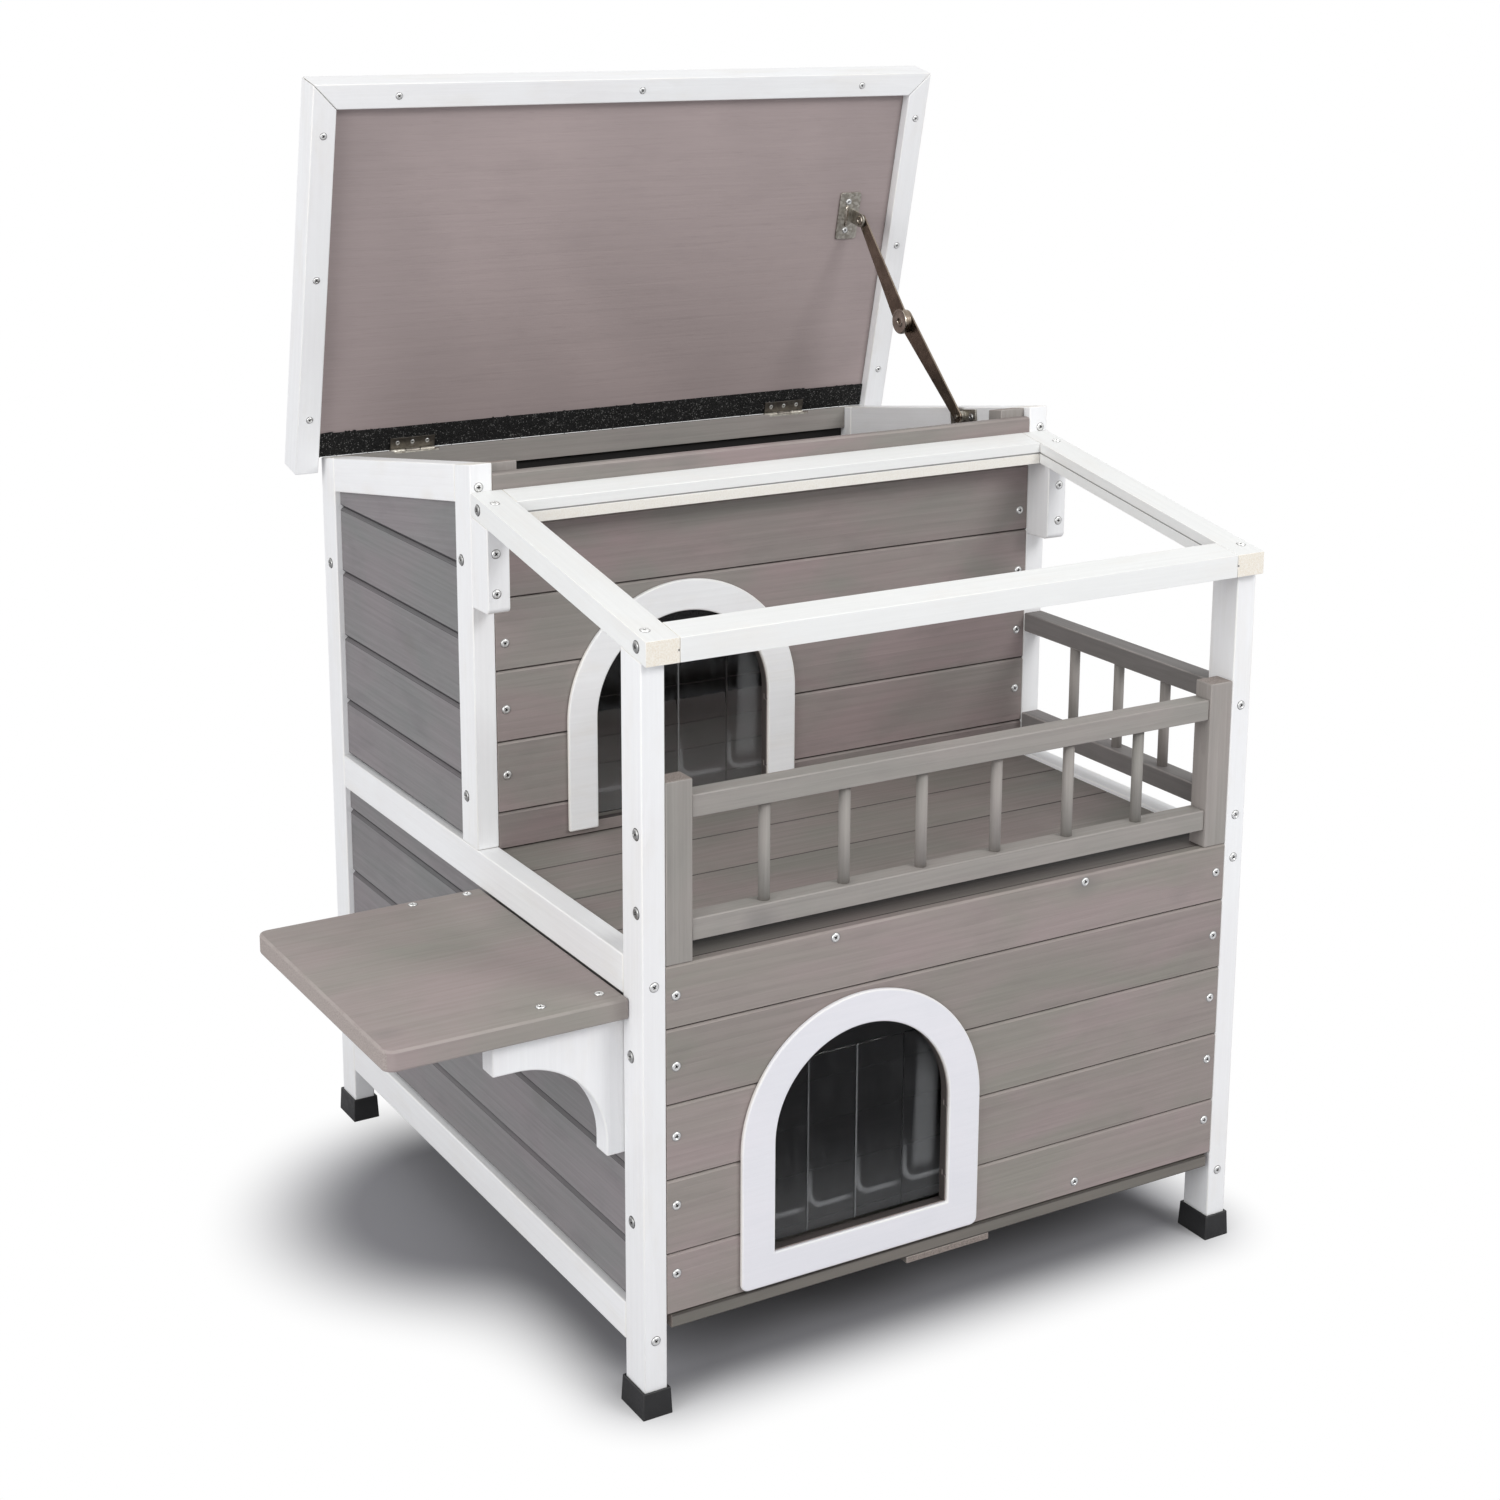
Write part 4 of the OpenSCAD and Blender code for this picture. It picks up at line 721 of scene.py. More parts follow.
# Screws: one crosshead shape, set on every place where the CAD has a head
screwSetup = {"headRise": 0.29, "slotLong": 0.58, "slotWide": 0.16, "slotDepth": 0.2, "slotTaper": 0.55, "sides": 20,
              "rim": ((1.0, -0.02), (1.0, 0.1015), (0.93, 0.203), (0.78, 0.2697)),  # radius and height
              "bite": ((1.16, 0.012), (0.98, 0.05)), "biteShade": 0.6, "turnSeed": 7, "postSize": 1.22,
              "postDull": 0.5}


def circle(shape, radius, height):
    turns = [2 * math.pi * i / screwSetup["sides"] for i in range(screwSetup["sides"])]
    return [shape.verts.new((radius * math.cos(turn), radius * math.sin(turn), height)) for turn in turns]


def crossHead():
    size = screwSetup
    shape = bmesh.new()
    recessShade = shape.verts.layers.float.new("recessShade")
    rings = [circle(shape, radius, height) for radius, height in size["rim"]]
    for lower, upper in zip(rings, rings[1:]):
        bridge(shape, lower, upper, True)
    shape.faces.new(rings[0][::-1])
    long, wide, top = size["slotLong"], size["slotWide"], size["headRise"]
    outline = [(long, -wide), (long, wide), (wide, wide), (wide, long), (-wide, long), (-wide, wide), (-long, wide),
               (-long, -wide), (-wide, -wide), (-wide, -long), (wide, -long), (wide, -wide)]
    mouth = [shape.verts.new((x, y, top)) for x, y in outline]
    edges = [shape.edges.new((a, b)) for a, b in zip(mouth, mouth[1:] + mouth[:1])]
    edges += [shape.edges.get((a, b)) for a, b in zip(rings[-1], rings[-1][1:] + rings[-1][:1])]
    bmesh.ops.triangle_fill(shape, use_beauty=True, edges=edges)
    inside = [face for face in shape.faces if face.calc_center_median().z > top * 0.95
              and all(vertex in mouth for vertex in face.verts)]
    bmesh.ops.delete(shape, geom=inside, context="FACES_ONLY")
    taper = size["slotTaper"]
    floor = [shape.verts.new((x * taper, y * taper, top - size["slotDepth"])) for x, y in outline]
    bridge(shape, mouth, floor, True)
    shape.faces.new(floor)
    bite = [circle(shape, radius, height) for radius, height in size["bite"]]
    bridge(shape, *bite, True)
    # painted shade: the slot's floor and the ring round the head are marked dark
    for vertices, share in ((floor, 1.0), (bite[0] + bite[1], size["biteShade"])):
        for vertex in vertices:
            vertex[recessShade] = share
    bmesh.ops.recalc_face_normals(shape, faces=shape.faces)
    for face in shape.faces:
        face.smooth = face.calc_center_median().xy.length > 0.7
    return pieceFrom(shape, "crossHeadShape", screwSteel)


def screwTree():
    tree, given = newTree("screwSetting", [("Head", "Object", None), ("Size", "Float", 1.0), ("Turn Seed", "Int", 0)])
    head = put(tree, "GeometryNodeObjectInfo", {"Object": out(given, "Head")})
    aim = namedValue(tree, "aim", "FLOAT_VECTOR")
    aimed = put(tree, "FunctionNodeAlignRotationToVector", {"Vector": aim}, axis="Z")
    angle = randomIn(tree, 0.0, math.pi, out(given, "Turn Seed"))
    spin = put(tree, "FunctionNodeAxisAngleToRotation", {"Axis": (0, 0, 1), "Angle": angle})
    turned = put(tree, "FunctionNodeRotateRotation", {"Rotation": out(aimed), "Rotate By": out(spin)},
                 rotation_space="LOCAL")
    size = times(tree, namedValue(tree, "headRadius"), out(given, "Size"))
    heads = setOn(tree, out(given, "Geometry"), out(head, "Geometry"), Rotation=out(turned), Scale=size)
    return endTree(tree, given, realOf(tree, heads))


def screwPlaces(node):
    # the base of each CAD head is its largest flat face: the screw looks the other way
    shape = cadCopy(node)
    found = []
    for group in islandsOf(shape):
        base = max({face for vertex in group for face in vertex.link_faces}, key=lambda face: face.calc_area())
        centre = base.calc_center_median()
        fromSide = abs(base.normal.x) > 0.9 and node == "frame_screws"  # these go through the posts
        radius = max((vertex.co - centre).length for vertex in base.verts)
        found.append((centre, -base.normal, radius * (screwSetup["postSize"] if fromSide else 1),
                      screwSetup["postDull"] if fromSide else 0.0))
    shape.free()
    return zip(*found)


screwHead = crossHead()
settingTree = screwTree()
for screwNode in ("frame_screws", "lid_screws"):
    screwSpots, screwAims, screwRadii, screwDulls = screwPlaces(screwNode)
    screws = pointCloud(f"{screwNode}_heads", screwSpots, aim=screwAims, headRadius=screwRadii, dull=screwDulls)
    grow(screws, settingTree, {
        "Head": screwHead, "Size": 1.0, "Turn Seed": screwSetup["turnSeed"], "Finish": screwSteel})
    standFor(screws, screwNode)
    print(len(screwSpots), "screws set for", screwNode)
bpy.data.objects.remove(screwHead)


# Spindles of the balcony railing: turned dowels between the handrails
spindleSetup = {"radius": 4.5, "sides": 28, "sunk": 0.6, "toneSeed": 3}


def woodFields(tree, geometry, turnedUp):
    # stores grainPos, endCut and, on laid boards, painted shade on their rounded edges
    position, normal = [put(tree, "ShaderNodeSeparateXYZ", {0: out(put(tree, f"GeometryNodeInput{field}"))})
                        for field in ("Position", "Normal")]
    order = ("Z", "X", "Y") if turnedUp else ("X", "Y", "Z")
    grain = put(tree, "ShaderNodeCombineXYZ", {i: out(position, axis) for i, axis in enumerate(order)})
    shifted = vectors(tree, "ADD", out(grain), namedValue(tree, "grainShift", "FLOAT_VECTOR"))
    geometry = store(tree, geometry, "grainPos", shifted, "FLOAT_VECTOR")
    sides = [sums(tree, "ABSOLUTE", out(normal, axis)) for axis in order]
    geometry = store(tree, geometry, "endCut", sums(tree, "GREATER_THAN", sides[0], 0.8), domain="FACE")
    if not turnedUp:
        flat = sums(tree, "MAXIMUM", sides[0], sums(tree, "MAXIMUM", sides[1], sides[2]))
        geometry = store(tree, geometry, "seam", sums(tree, "LESS_THAN", flat, 0.98), domain="FACE")
    return geometry


def seededPoints(tree, geometry, seed):
    geometry = store(tree, geometry, "grainShift", randomIn(tree, (0, 0, 0), (9, 5, 5), seed), "FLOAT_VECTOR")
    return store(tree, geometry, "boardTone", randomIn(tree, -1.0, 1.0, seed))


def spindleTree():
    tree, given = newTree("spindleRow", [("Radius", "Float", 0.0045), ("Sides", "Int", 24), ("Tone Seed", "Int", 0)])
    points = seededPoints(tree, out(given, "Geometry"), out(given, "Tone Seed"))
    dowel = put(tree, "GeometryNodeMeshCylinder", {
        "Vertices": out(given, "Sides"), "Side Segments": 1, "Fill Segments": 1, "Radius": out(given, "Radius"),
        "Depth": 1.0})
    stretch = put(tree, "ShaderNodeCombineXYZ", {0: 1.0, 1: 1.0, 2: namedValue(tree, "reach")})
    dowels = realOf(tree, setOn(tree, points, out(dowel, "Mesh"), Scale=out(stretch)))
    return endTree(tree, given, woodFields(tree, dowels, True))


def makeSpindles():
    shape = cadCopy("railing_spindles")
    places, reaches = [], []
    for group in islandsOf(shape):
        low, high = cornersOf([vertex.co for vertex in group])
        places.append((low + high) / 2)
        reaches.append(high.z - low.z + spindleSetup["sunk"] * mm)
    shape.free()
    spindles = pointCloud("railing_spindle_dowels", places, reach=reaches)
    grow(spindles, spindleTree(), {
        "Radius": spindleSetup["radius"] * mm, "Sides": spindleSetup["sides"], "Tone Seed": spindleSetup["toneSeed"],
        "Finish": railStain})
    for face in spindles.data.polygons:
        face.use_smooth = abs(face.normal.z) < 0.5
    standFor(spindles, "railing_spindles")
    print(len(places), "spindles turned")


makeSpindles()


# Boards laid flat: the deck and the pull-out floor
boardRows = {
    "deck_boards": {"gap": 0.3, "edgeRadius": 0.9, "toneSeed": 11, "finish": deckStain},
    "floor_boards": {"gap": 0.3, "edgeRadius": 0.9, "toneSeed": 23, "finish": floorStain},
}


def boardTree():
    tree, given = newTree("boardRow", [
        ("Count", "Int", 8), ("Length", "Float", 0.5), ("Width", "Float", 0.07), ("Thickness", "Float", 0.012),
        ("Gap", "Float", 0.0003), ("Edge Radius", "Float", 0.001), ("Tone Seed", "Int", 0)])
    pitch = plus(tree, out(given, "Width"), out(given, "Gap"))
    back = times(tree, sums(tree, "SUBTRACT", out(given, "Count"), 1.0), -0.5)
    start, offset = [out(put(tree, "ShaderNodeCombineXYZ", {1: way})) for way in (times(tree, back, pitch), pitch)]
    line = put(tree, "GeometryNodeMeshLine", {"Count": out(given, "Count"), "Start Location": start, "Offset": offset},
               mode="OFFSET")
    points = seededPoints(tree, out(line), out(given, "Tone Seed"))
    section = put(tree, "GeometryNodeCurvePrimitiveQuadrilateral", {
        "Width": out(given, "Width"), "Height": out(given, "Thickness")}, mode="RECTANGLE")
    eased = put(tree, "GeometryNodeFilletCurve", {
        "Curve": out(section), "Radius": out(given, "Edge Radius"), "Count": 2}, mode="POLY")
    half = times(tree, out(given, "Length"), 0.5)
    left, right = [out(put(tree, "ShaderNodeCombineXYZ", {0: end})) for end in (times(tree, half, -1.0), half)]
    path = put(tree, "GeometryNodeCurvePrimitiveLine", {"Start": left, "End": right}, mode="POINTS")
    board = put(tree, "GeometryNodeCurveToMesh", {"Curve": out(path), "Profile Curve": out(eased), "Fill Caps": True})
    return endTree(tree, given, woodFields(tree, realOf(tree, setOn(tree, points, out(board))), False))


def layBoards(node, row, tree):
    low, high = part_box(node)
    count = len(islandsOf(cadCopy(node)))
    size = high - low
    gap = row["gap"] * mm
    boards = pointCloud(f"{node}_laid", [(0, 0, 0)])
    grow(boards, tree, {
        "Count": count, "Length": size.x, "Width": (size.y + gap) / count - gap, "Thickness": size.z, "Gap": gap,
        "Edge Radius": row["edgeRadius"] * mm, "Tone Seed": row["toneSeed"], "Finish": row["finish"]})
    boards.data.transform(Matrix.Translation((low + high) / 2))
    for face in boards.data.polygons:
        face.use_smooth = False
    laid = cornersOf([vertex.co for vertex in boards.data.vertices])
    standFor(boards, node)
    print(node, count, "boards laid, off the CAD box by",
          round(max((laid[0] - low).length, (laid[1] - high).length) / mm, 2), "mm")


rowTree = boardTree()
for rowNode, rowSize in boardRows.items():
    layBoards(rowNode, rowSize, rowTree)


# Foot caps: moulded plastic with rounded edges
capSetup = {"edgeRadius": 0.7}
caps = cadCopy("foot_caps")
roundEdges(caps, capSetup["edgeRadius"] * mm, segments=3)
standFor(pieceFrom(caps, "foot_caps_moulded", capPlastic), "foot_caps")
print("foot caps moulded")


# Places on the lid, which leans back on its hinges
lidLean = math.radians(12.9)
leanSin, leanCos = math.sin(lidLean), math.cos(lidLean)
lidUp = Vector((0, -leanSin, leanCos))  # from the hinge to the free edge
lidUnder = Vector((0, -leanCos, -leanSin))  # towards the underside
hingePin = pinOf("lid_hinge")


def lidPoint(x, u, w):  # x across, u from the hinge to the free edge, w towards the underside
    return Vector(((x - centreX) * mm, hingePin.y - (u * leanSin + w * leanCos) * mm,
                   hingePin.z + (u * leanCos - w * leanSin) * mm))


# Hinges and stay: pressed steel, edges just broken
metalParts = {
    "frame_hinge_leaves": (0.12, zincPlate), "lid_hinge_leaves": (0.12, leafZinc),
    "stay_lid_bracket": (0.2, zincPlate), "stay_frame_bracket": (0.2, zincPlate),
    "stay_upper_arm": (0.3, stayBronze), "stay_lower_arm": (0.3, stayBronze),
}
rivetSetup = {
    "steps": 40, "plateCorner": 2.6, "plateThick": 1.5, "ribLong": 10, "ribWide": 1.8, "ribHigh": 1.1,
    "ribSteps": 8, "ribSides": 6, "ribBlunt": 0.3, "ribEnd": 0.15, "plateW": -1.75, "ribX": 519.5, "earU": 199.3,
    "earFace": 3.2,
    "capLine": ((11.6, -0.1), (11.6, 0.35), (11.3, 0.75), (10.2, 0.8), (9.5, 0.35), (5.2, 0.3), (4.6, 0.75),
                (3.1, 0.95), (2.5, 0.6), (2.3, -0.1)),
    "earLine": ((4.6, 0.0), (4.5, 0.5), (3.7, 0.9), (2.5, 0.95), (2.1, 0.4), (1.9, -0.2)),
}


def brighten(faces):  # rivets and ribs are of the second metal
    for face in faces:
        face.smooth = True
        face.material_index = 1


def spinLine(shape, centre, line):  # a turned profile (radius, height) on a face that looks to the left
    turns = [2 * math.pi * i / rivetSetup["steps"] for i in range(rivetSetup["steps"])]
    rings = [[shape.verts.new(centre + Vector((-height, radius * math.cos(turn), radius * math.sin(turn))) * mm)
              for turn in turns] for radius, height in line]
    made = [face for lower, upper in zip(rings, rings[1:]) for face in bridge(shape, upper, lower, True)]
    brighten([*made, shape.faces.new(rings[-1])])


def roundPlate(shape):  # the four upright corner edges of the plate on the lid
    corners = [edge for edge in shape.edges
               if abs(edge.calc_length() - rivetSetup["plateThick"] * mm) < 0.1 * mm
               and abs((edge.verts[0].co - edge.verts[1].co).normalized().dot(lidUnder)) > 0.99]
    corners.sort(key=lambda edge: (edge.verts[0].co.x, edge.verts[0].co.z))
    bmesh.ops.bevel(shape, geom=corners[:2] + corners[-2:], offset=rivetSetup["plateCorner"] * mm, segments=4,
                    profile=0.5, affect="EDGES")


def addRib(shape, place):  # a half-round rib pressed out of the plate, beside the ear
    s = rivetSetup
    rings = []
    for i in range(s["ribSteps"] + 1):
        turn = math.pi * i / s["ribSteps"]
        along = lidUp * (s["ribLong"] * math.cos(turn))
        wide = s["ribWide"] * max(s["ribEnd"], math.sin(turn) ** s["ribBlunt"])
        sides = [math.pi * j / s["ribSides"] for j in range(s["ribSides"] + 1)]
        rings.append([shape.verts.new(place + (along + Vector((wide * math.cos(side), 0, 0))
                                               + lidUnder * (s["ribHigh"] * math.sin(side))) * mm)
                      for side in sides])
    made = [face for lower, upper in zip(rings, rings[1:]) for face in bridge(shape, lower, upper)]
    made += [shape.faces.new(rings[0]), shape.faces.new(rings[-1])]
    bmesh.ops.recalc_face_normals(shape, faces=made)
    brighten(made)


def leftmost(node):  # the middle of the face that a piece shows to the left
    points = [vertex.co for vertex in frame["nodes"][node].data.vertices]
    edge = min(point.x for point in points)
    low, high = cornersOf([point for point in points if point.x < edge + 0.01 * mm])
    return (low + high) / 2


def pressMetal(node, edgeRadius, metal):
    s = rivetSetup
    pressed = cadCopy(node)
    if node == "stay_lid_bracket":
        roundPlate(pressed)
    roundEdges(pressed, edgeRadius * mm)
    if node == "stay_upper_arm":
        spinLine(pressed, leftmost(node), s["capLine"])
    if node == "stay_lid_bracket":
        spinLine(pressed, pinOf("stay_upper_pivot") - Vector((s["earFace"] * mm, 0, 0)), s["earLine"])
        addRib(pressed, lidPoint(s["ribX"], s["earU"], s["plateW"]))
    standFor(pieceFrom(pressed, f"{node}_steel", metal, rivetSteel), node)


for metalNode, (brokenEdge, metalKind) in metalParts.items():
    pressMetal(metalNode, brokenEdge, metalKind)
print("hinges and stay pressed")


# Roofing felt: a gritty sheet over the lid, its cut edge ragged where it is turned under
feltSetup = {
    "left": -6.7, "right": 566.7, "start": 0.9, "stripEnd": 22.6, "thick": 2.2, "under": -3.25, "outside": -15.85,
    "step": 2.0, "backStep": 6.0, "relief": 0.45, "reliefTop": 0.3, "rim": -0.15, "ragged": 3.2, "tuck": 0.2,
    "sunk": 1.15,  # so that the grit clears the rear rail when the lid is closed
    "stripGrit": 260000.0, "backGrit": 26000.0, "gritSize": 0.55, "gritSeed": 5, "turnSeed": 3, "sizeSeed": 4,
    "gridArea": 0.0001,  # larger faces are plain sides without grit
}


def waviness(*place):
    return noise.noise(Vector(place))


def feltSheet(shape, u0, u1, face, back, step, ragged=False):
    # a slab whose outer side is gridded and rough, w runs from back to face
    s = feltSetup
    width = s["right"] - s["left"]
    acrossCount, upCount = max(2, round(width / step)), max(1, round((u1 - u0) / step))
    rows = []
    for j in range(upCount + 1):
        row = []
        for i in range(acrossCount + 1):
            x, u = s["left"] + width * i / acrossCount, u0 + (u1 - u0) * j / upCount
            if ragged and j == upCount:
                u += s["ragged"] * (0.6 * waviness(x * 0.16, 3.1, 0) + waviness(x * 0.37, 8.7, 0))
            inside = 0 < i < acrossCount and 0 < j < upCount
            rise = min(s["relief"] * waviness(x * 0.45, u * 0.45, 1.7), s["reliefTop"]) if inside else s["rim"]
            row.append(shape.verts.new(lidPoint(x, u, face + math.copysign(1, face - back) * rise)))
        rows.append(row)
    (a, b), (c, d) = [[shape.verts.new(lidPoint(x, u, back)) for x in (s["left"], s["right"])] for u in (u0, u1)]
    for lower, upper in zip(rows, rows[1:]):
        bridge(shape, lower, upper)
    for outline in ([a, c, d, b], [a, b, *rows[0][::-1]], [d, c, *rows[-1]], [c, a, *[row[0] for row in rows]],
                    [b, d, *[row[-1] for row in rows[::-1]]]):
        shape.faces.new(outline)


def gritTree():
    tree, given = newTree("roofGrit", [("Size", "Float", 0.0005), ("Seed", "Int", 0)])
    points = put(tree, "GeometryNodeDistributePointsOnFaces", {
        "Mesh": out(given, "Geometry"), "Density": namedValue(tree, "gritDensity"), "Seed": out(given, "Seed")},
        distribute_method="RANDOM")
    stone = put(tree, "GeometryNodeMeshIcoSphere", {"Radius": out(given, "Size"), "Subdivisions": 1})
    turn = randomIn(tree, (0, 0, 0), (6.3, 6.3, 6.3), feltSetup["turnSeed"])
    size = randomIn(tree, (0.5, 0.5, 0.35), (1.5, 1.4, 0.9), feltSetup["sizeSeed"])
    stones = setOn(tree, out(points, "Points"), out(stone, "Mesh"), Scale=size,
                   Rotation=out(put(tree, "FunctionNodeEulerToRotation", {0: turn})))
    both = put(tree, "GeometryNodeJoinGeometry", {0: out(given, "Geometry")})
    feed(both, {0: stones})
    return endTree(tree, given, realOf(tree, out(both)))


def makeFelt():
    s = feltSetup
    low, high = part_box("lid_felt")
    outer, inner = s["outside"] - s["thick"], s["under"] + s["thick"] - s["sunk"]
    end = max((vertex.co.z - hingePin.z) / mm / leanCos for vertex in frame["nodes"]["lid_felt"].data.vertices) \
        + outer * math.tan(lidLean)
    shape = bmesh.new()
    feltSheet(shape, s["start"], end, outer, s["outside"], s["backStep"])
    feltSheet(shape, s["start"], s["stripEnd"], inner, s["under"], s["step"], True)
    corners = [shape.verts.new(lidPoint(x, u, w)) for w in (outer + s["tuck"], inner - s["tuck"])
               for u in (s["start"], s["start"] + s["thick"]) for x in (s["left"], s["right"])]
    for quad in ((0, 1, 3, 2), (4, 6, 7, 5), (0, 4, 5, 1), (2, 3, 7, 6), (0, 2, 6, 4), (1, 5, 7, 3)):
        shape.faces.new([corners[i] for i in quad])  # the fold over the hinge edge
    bmesh.ops.recalc_face_normals(shape, faces=shape.faces)
    piece = pieceFrom(shape, "lid_felt_sheet", roofFelt)
    density = piece.data.attributes.new("gritDensity", "FLOAT", "FACE")
    for face in piece.data.polygons:
        turned = face.normal.dot(lidUnder)
        grit = s["stripGrit"] if turned > 0.5 else s["backGrit"] if turned < -0.5 else 0.0
        density.data[face.index].value = grit if face.area < s["gridArea"] else 0.0
        face.use_smooth = False
    grow(piece, gritTree(), {"Size": s["gritSize"] * mm, "Seed": s["gritSeed"], "Finish": roofFelt})
    standFor(piece, "lid_felt")
    made = cornersOf([vertex.co for vertex in piece.data.vertices])
    print("felt laid with", len(piece.data.polygons), "faces, off the CAD box by",
          [round(x / mm, 1) for x in (*(made[0] - low), *(made[1] - high))])


makeFelt()


# Clear door strips: slightly bowed vinyl sheets with a painted reflection band, and the bands they hang from
stripSetup = {
    "bow": 0.5, "columns": 44, "rows": 72, "band": 5.0, "bandLift": 17.0, "bandReach": 26.0, "bandFade": 10.0,
    "corner": 11.0, "footHaze": 0.32, "footReach": 80.0, "topReach": 0.9, "slitHaze": 1.6, "slitReach": 1.1,
    "patchHaze": 0.55, "patchMiddle": 0.42, "patchLean": 0.03, "patchHalf": 0.26, "patchFoot": 26, "patchTop": 150,
}


def held(value):
    return min(1, max(0, value))


def reflectionAndHazeShare(across, up, width, number):
    # painted reflection: a soft band along the foot turns up beside the slit and fades; the last strip has a long
    # rubbed patch, and all grow hazier towards the foot
    s = stripSetup
    corner, half = s["corner"], s["band"] / 2
    x, z = across - half, up - (s["bandLift"] + half)
    if x < corner and z < corner:
        distance = abs(math.hypot(x - corner, z - corner) - corner)
    else:
        distance = min(abs(x) if z >= corner else math.inf, abs(z) if x >= corner else math.inf)
    fade = held(1 - (z - corner) / s["bandReach"]) if z > corner else held((width - across) / s["bandFade"])
    share = max(0, 1 - distance / half) ** 0.6 * fade
    slit = s["slitHaze"] * max(0, 1 - across / s["slitReach"]) if 1 < number < 4 else 0
    patch = 0
    if number == 4:
        beside = abs(across - s["patchMiddle"] * width - s["patchLean"] * up) / (s["patchHalf"] * width)
        patch = s["patchHaze"] * max(0, 1 - beside ** 4) * held((up - s["patchFoot"]) / 8) \
            * held((s["patchTop"] - up) / 50)
    return max(share, slit, patch) + s["footHaze"] * max(0, 1 - up / s["footReach"]) ** 1.5


def makeStrip(node, number):
    s = stripSetup
    low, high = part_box(node)
    size = high - low + Vector((0, 0, s["topReach"] * mm))  # up to the band it hangs from
    shape = bmesh.new()
    pressed = shape.verts.layers.float.new("pressed")
    place = shape.verts.layers.float_vector.new("stripPos")
    lean = 1 if number % 2 else -0.6  # neighbours bow opposite ways
    sides = []
    for depth in (low.y, high.y):
        rows = []
        for j in range(s["rows"] + 1):
            row = []
            for i in range(s["columns"] + 1):
                a, b = i / s["columns"], j / s["rows"]
                bow = s["bow"] * mm * (math.sin(math.pi * a) - 0.5) * (1 - b) ** 0.5 * lean
                vertex = shape.verts.new((low.x + size.x * a, depth + bow, low.z + size.z * b))
                # painted reflection band, kept in the pressed attribute
                vertex[pressed] = reflectionAndHazeShare(size.x * a / mm, size.z * b / mm, size.x / mm, number)
                vertex[place] = Vector((size.x * a + number * 0.37, size.z * b, depth))
                row.append(vertex)
            rows.append(row)
        sides.append(rows)
    front, back = sides
    for j in range(s["rows"]):
        bridge(shape, front[j], front[j + 1])
        bridge(shape, back[j + 1], back[j])
    for side, other in ((front, back), (back, front)):  # the four narrow sides
        line = 0 if side is front else -1
        bridge(shape, [row[line] for row in side], [row[line] for row in other])
        bridge(shape, side[-1 - line], other[-1 - line])
    bmesh.ops.recalc_face_normals(shape, faces=shape.faces)
    for face in shape.faces:
        face.smooth = abs(face.normal.y) > 0.7
        face.material_index = 1 if face.normal.z > 0.7 else 0
    standFor(pieceFrom(shape, f"{node}_sheet", clearVinyl, clearEdge), node)


for storey in ("lower", "upper"):
    for stripNumber in range(1, 5):
        makeStrip(f"{storey}_strip_{stripNumber}", stripNumber)
headers = cadCopy("curtain_headers")
roundEdges(headers, 0)
for headerFace in headers.faces:
    headerFace.material_index = 1 if headerFace.normal.z < -0.7 else 0
standFor(pieceFrom(headers, "curtain_headers_sheet", clearVinyl, clearEdge), "curtain_headers")
print("door strips hung")


# Studio: a pale floor with a painted shadow round the house that turns pure white further out, three soft lamps, even
# white surroundings
studio = {
    "surround": 0.6, "aim": (0.08, 0, 0.45), "floorSize": 9,
    "lamps": {"keyLight": (54, 1.5, (1.3, -2.8, 2.5)), "fillLight": (50, 2.2, (-3.0, -1.0, 1.5)),
              "topLight": (6, 1.8, (0.1, 0.2, 3.0))},  # power, size and place
    # the floor's painted shadow: its tones, and the box and round spot it follows
    "floorTone": paint(204, 204, 208), "shadeTone": paint(150, 150, 154), "middle": (0.08, -0.067, 0),
    "half": (0.25, 0.197, 0), "stepSpot": (-0.17, 0.065, 0), "stepRound": 0.1, "stepSoft": 0.7, "blend": 0.1,
    "shadeTo": 0.095, "whiteTo": 0.1,
}


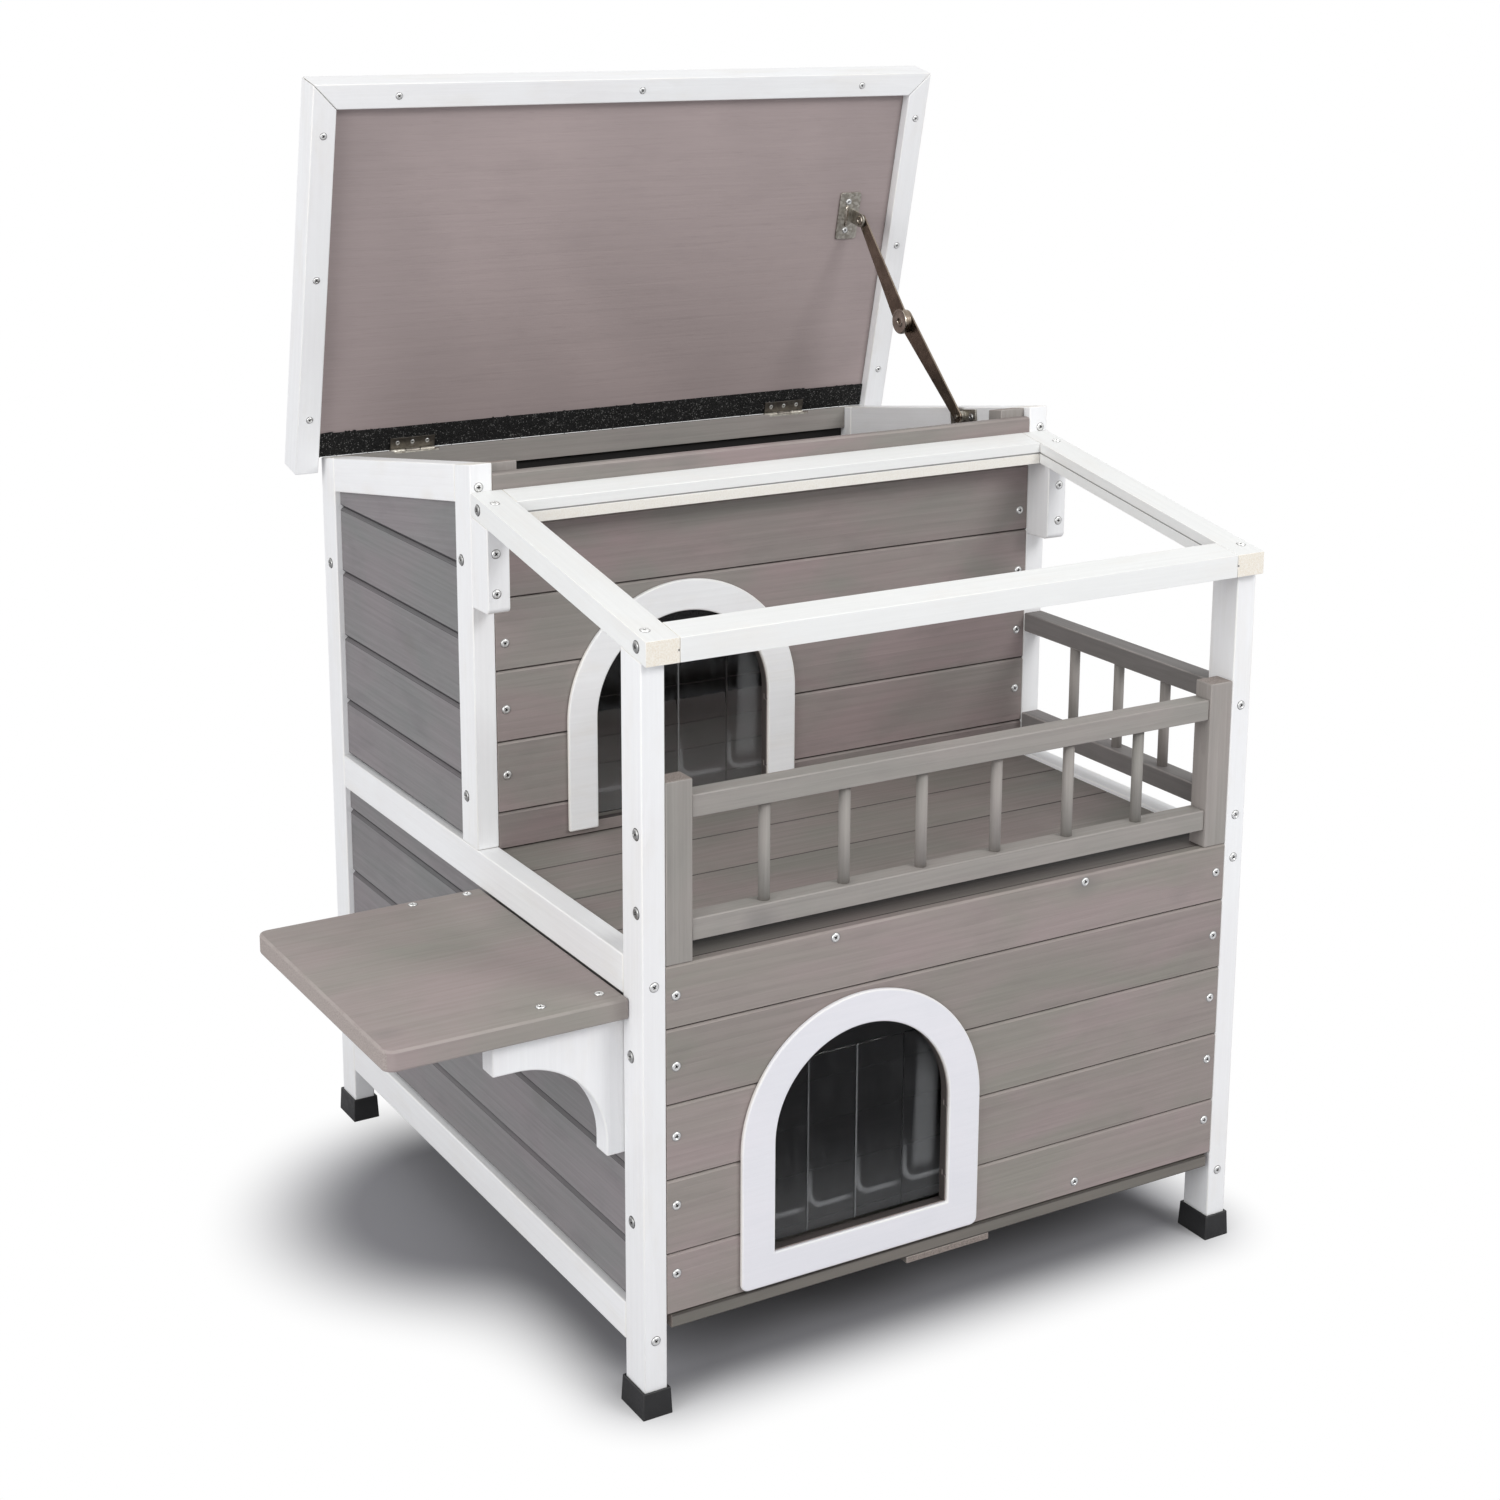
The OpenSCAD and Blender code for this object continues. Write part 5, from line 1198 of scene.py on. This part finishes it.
def areaLight(name, power, size, place):
    lamp = bpy.data.lights.new(name, "AREA")
    lamp.shape = "DISK"
    lamp.size = size
    lamp.energy = power
    light = bpy.data.objects.new(name, lamp)
    bpy.context.scene.collection.objects.link(light)
    light.location = place
    light.rotation_euler = (Vector(studio["aim"]) - Vector(place)).to_track_quat("-Z", "Y").to_euler()


def surroundings():
    world = bpy.data.worlds.new("studioWhite")
    bpy.context.scene.world = world
    world.use_nodes = True
    tree = world.node_tree
    rays = put(tree, "ShaderNodeLightPath")
    mirrored = sums(tree, "MAXIMUM", out(rays, "Is Glossy Ray"), out(rays, "Is Transmission Ray"))
    seen = sums(tree, "MAXIMUM", out(rays, "Is Camera Ray"), mirrored)
    feed(next(node for node in tree.nodes if node.type == "BACKGROUND"), {
        "Strength": remap(tree, seen, 0.0, 1.0, studio["surround"], 1.0), "Color": (1, 1, 1, 1)})


def layFloor():
    finish, tree, shader = newFinish("studioFloor")
    spot = objectSpot(tree)
    side = vectors(tree, "ABSOLUTE", vectors(tree, "SUBTRACT", spot, studio["middle"]))
    side = vectors(tree, "MAXIMUM", vectors(tree, "SUBTRACT", side, studio["half"]))
    fromHouse = vectors(tree, "LENGTH", side)
    # a round painted shadow of the step on the left
    fromStep = sums(tree, "SUBTRACT", vectors(tree, "DISTANCE", spot, studio["stepSpot"]), studio["stepRound"])
    far = sums(tree, "SMOOTH_MIN", fromHouse, times(tree, fromStep, studio["stepSoft"]), studio["blend"])
    # painted shadow: near the house and under the step the floor's own colour turns darker
    tone = blendTones(tree, remap(tree, far, 0.0, studio["shadeTo"]), studio["shadeTone"], studio["floorTone"])
    white = remap(tree, far, 0.0, studio["whiteTo"], interpolation_type="SMOOTHSTEP")
    lift = times(tree, out(put(tree, "ShaderNodeLightPath"), "Is Camera Ray"), white)  # pure white further out
    feed(shader, {
        "Base Color": blendTones(tree, lift, tone, (0, 0, 0, 1)), "Roughness": 0.9, "Specular IOR Level": 0.0,
        "Emission Color": (1, 1, 1, 1), "Emission Strength": lift})
    shape = bmesh.new()
    bmesh.ops.create_grid(shape, x_segments=8, y_segments=8, size=studio["floorSize"])
    pieceFrom(shape, "studioFloor", finish)


surroundings()
for lampName, lampSetup in studio["lamps"].items():
    areaLight(lampName, *lampSetup)
layFloor()
print("studio lit")
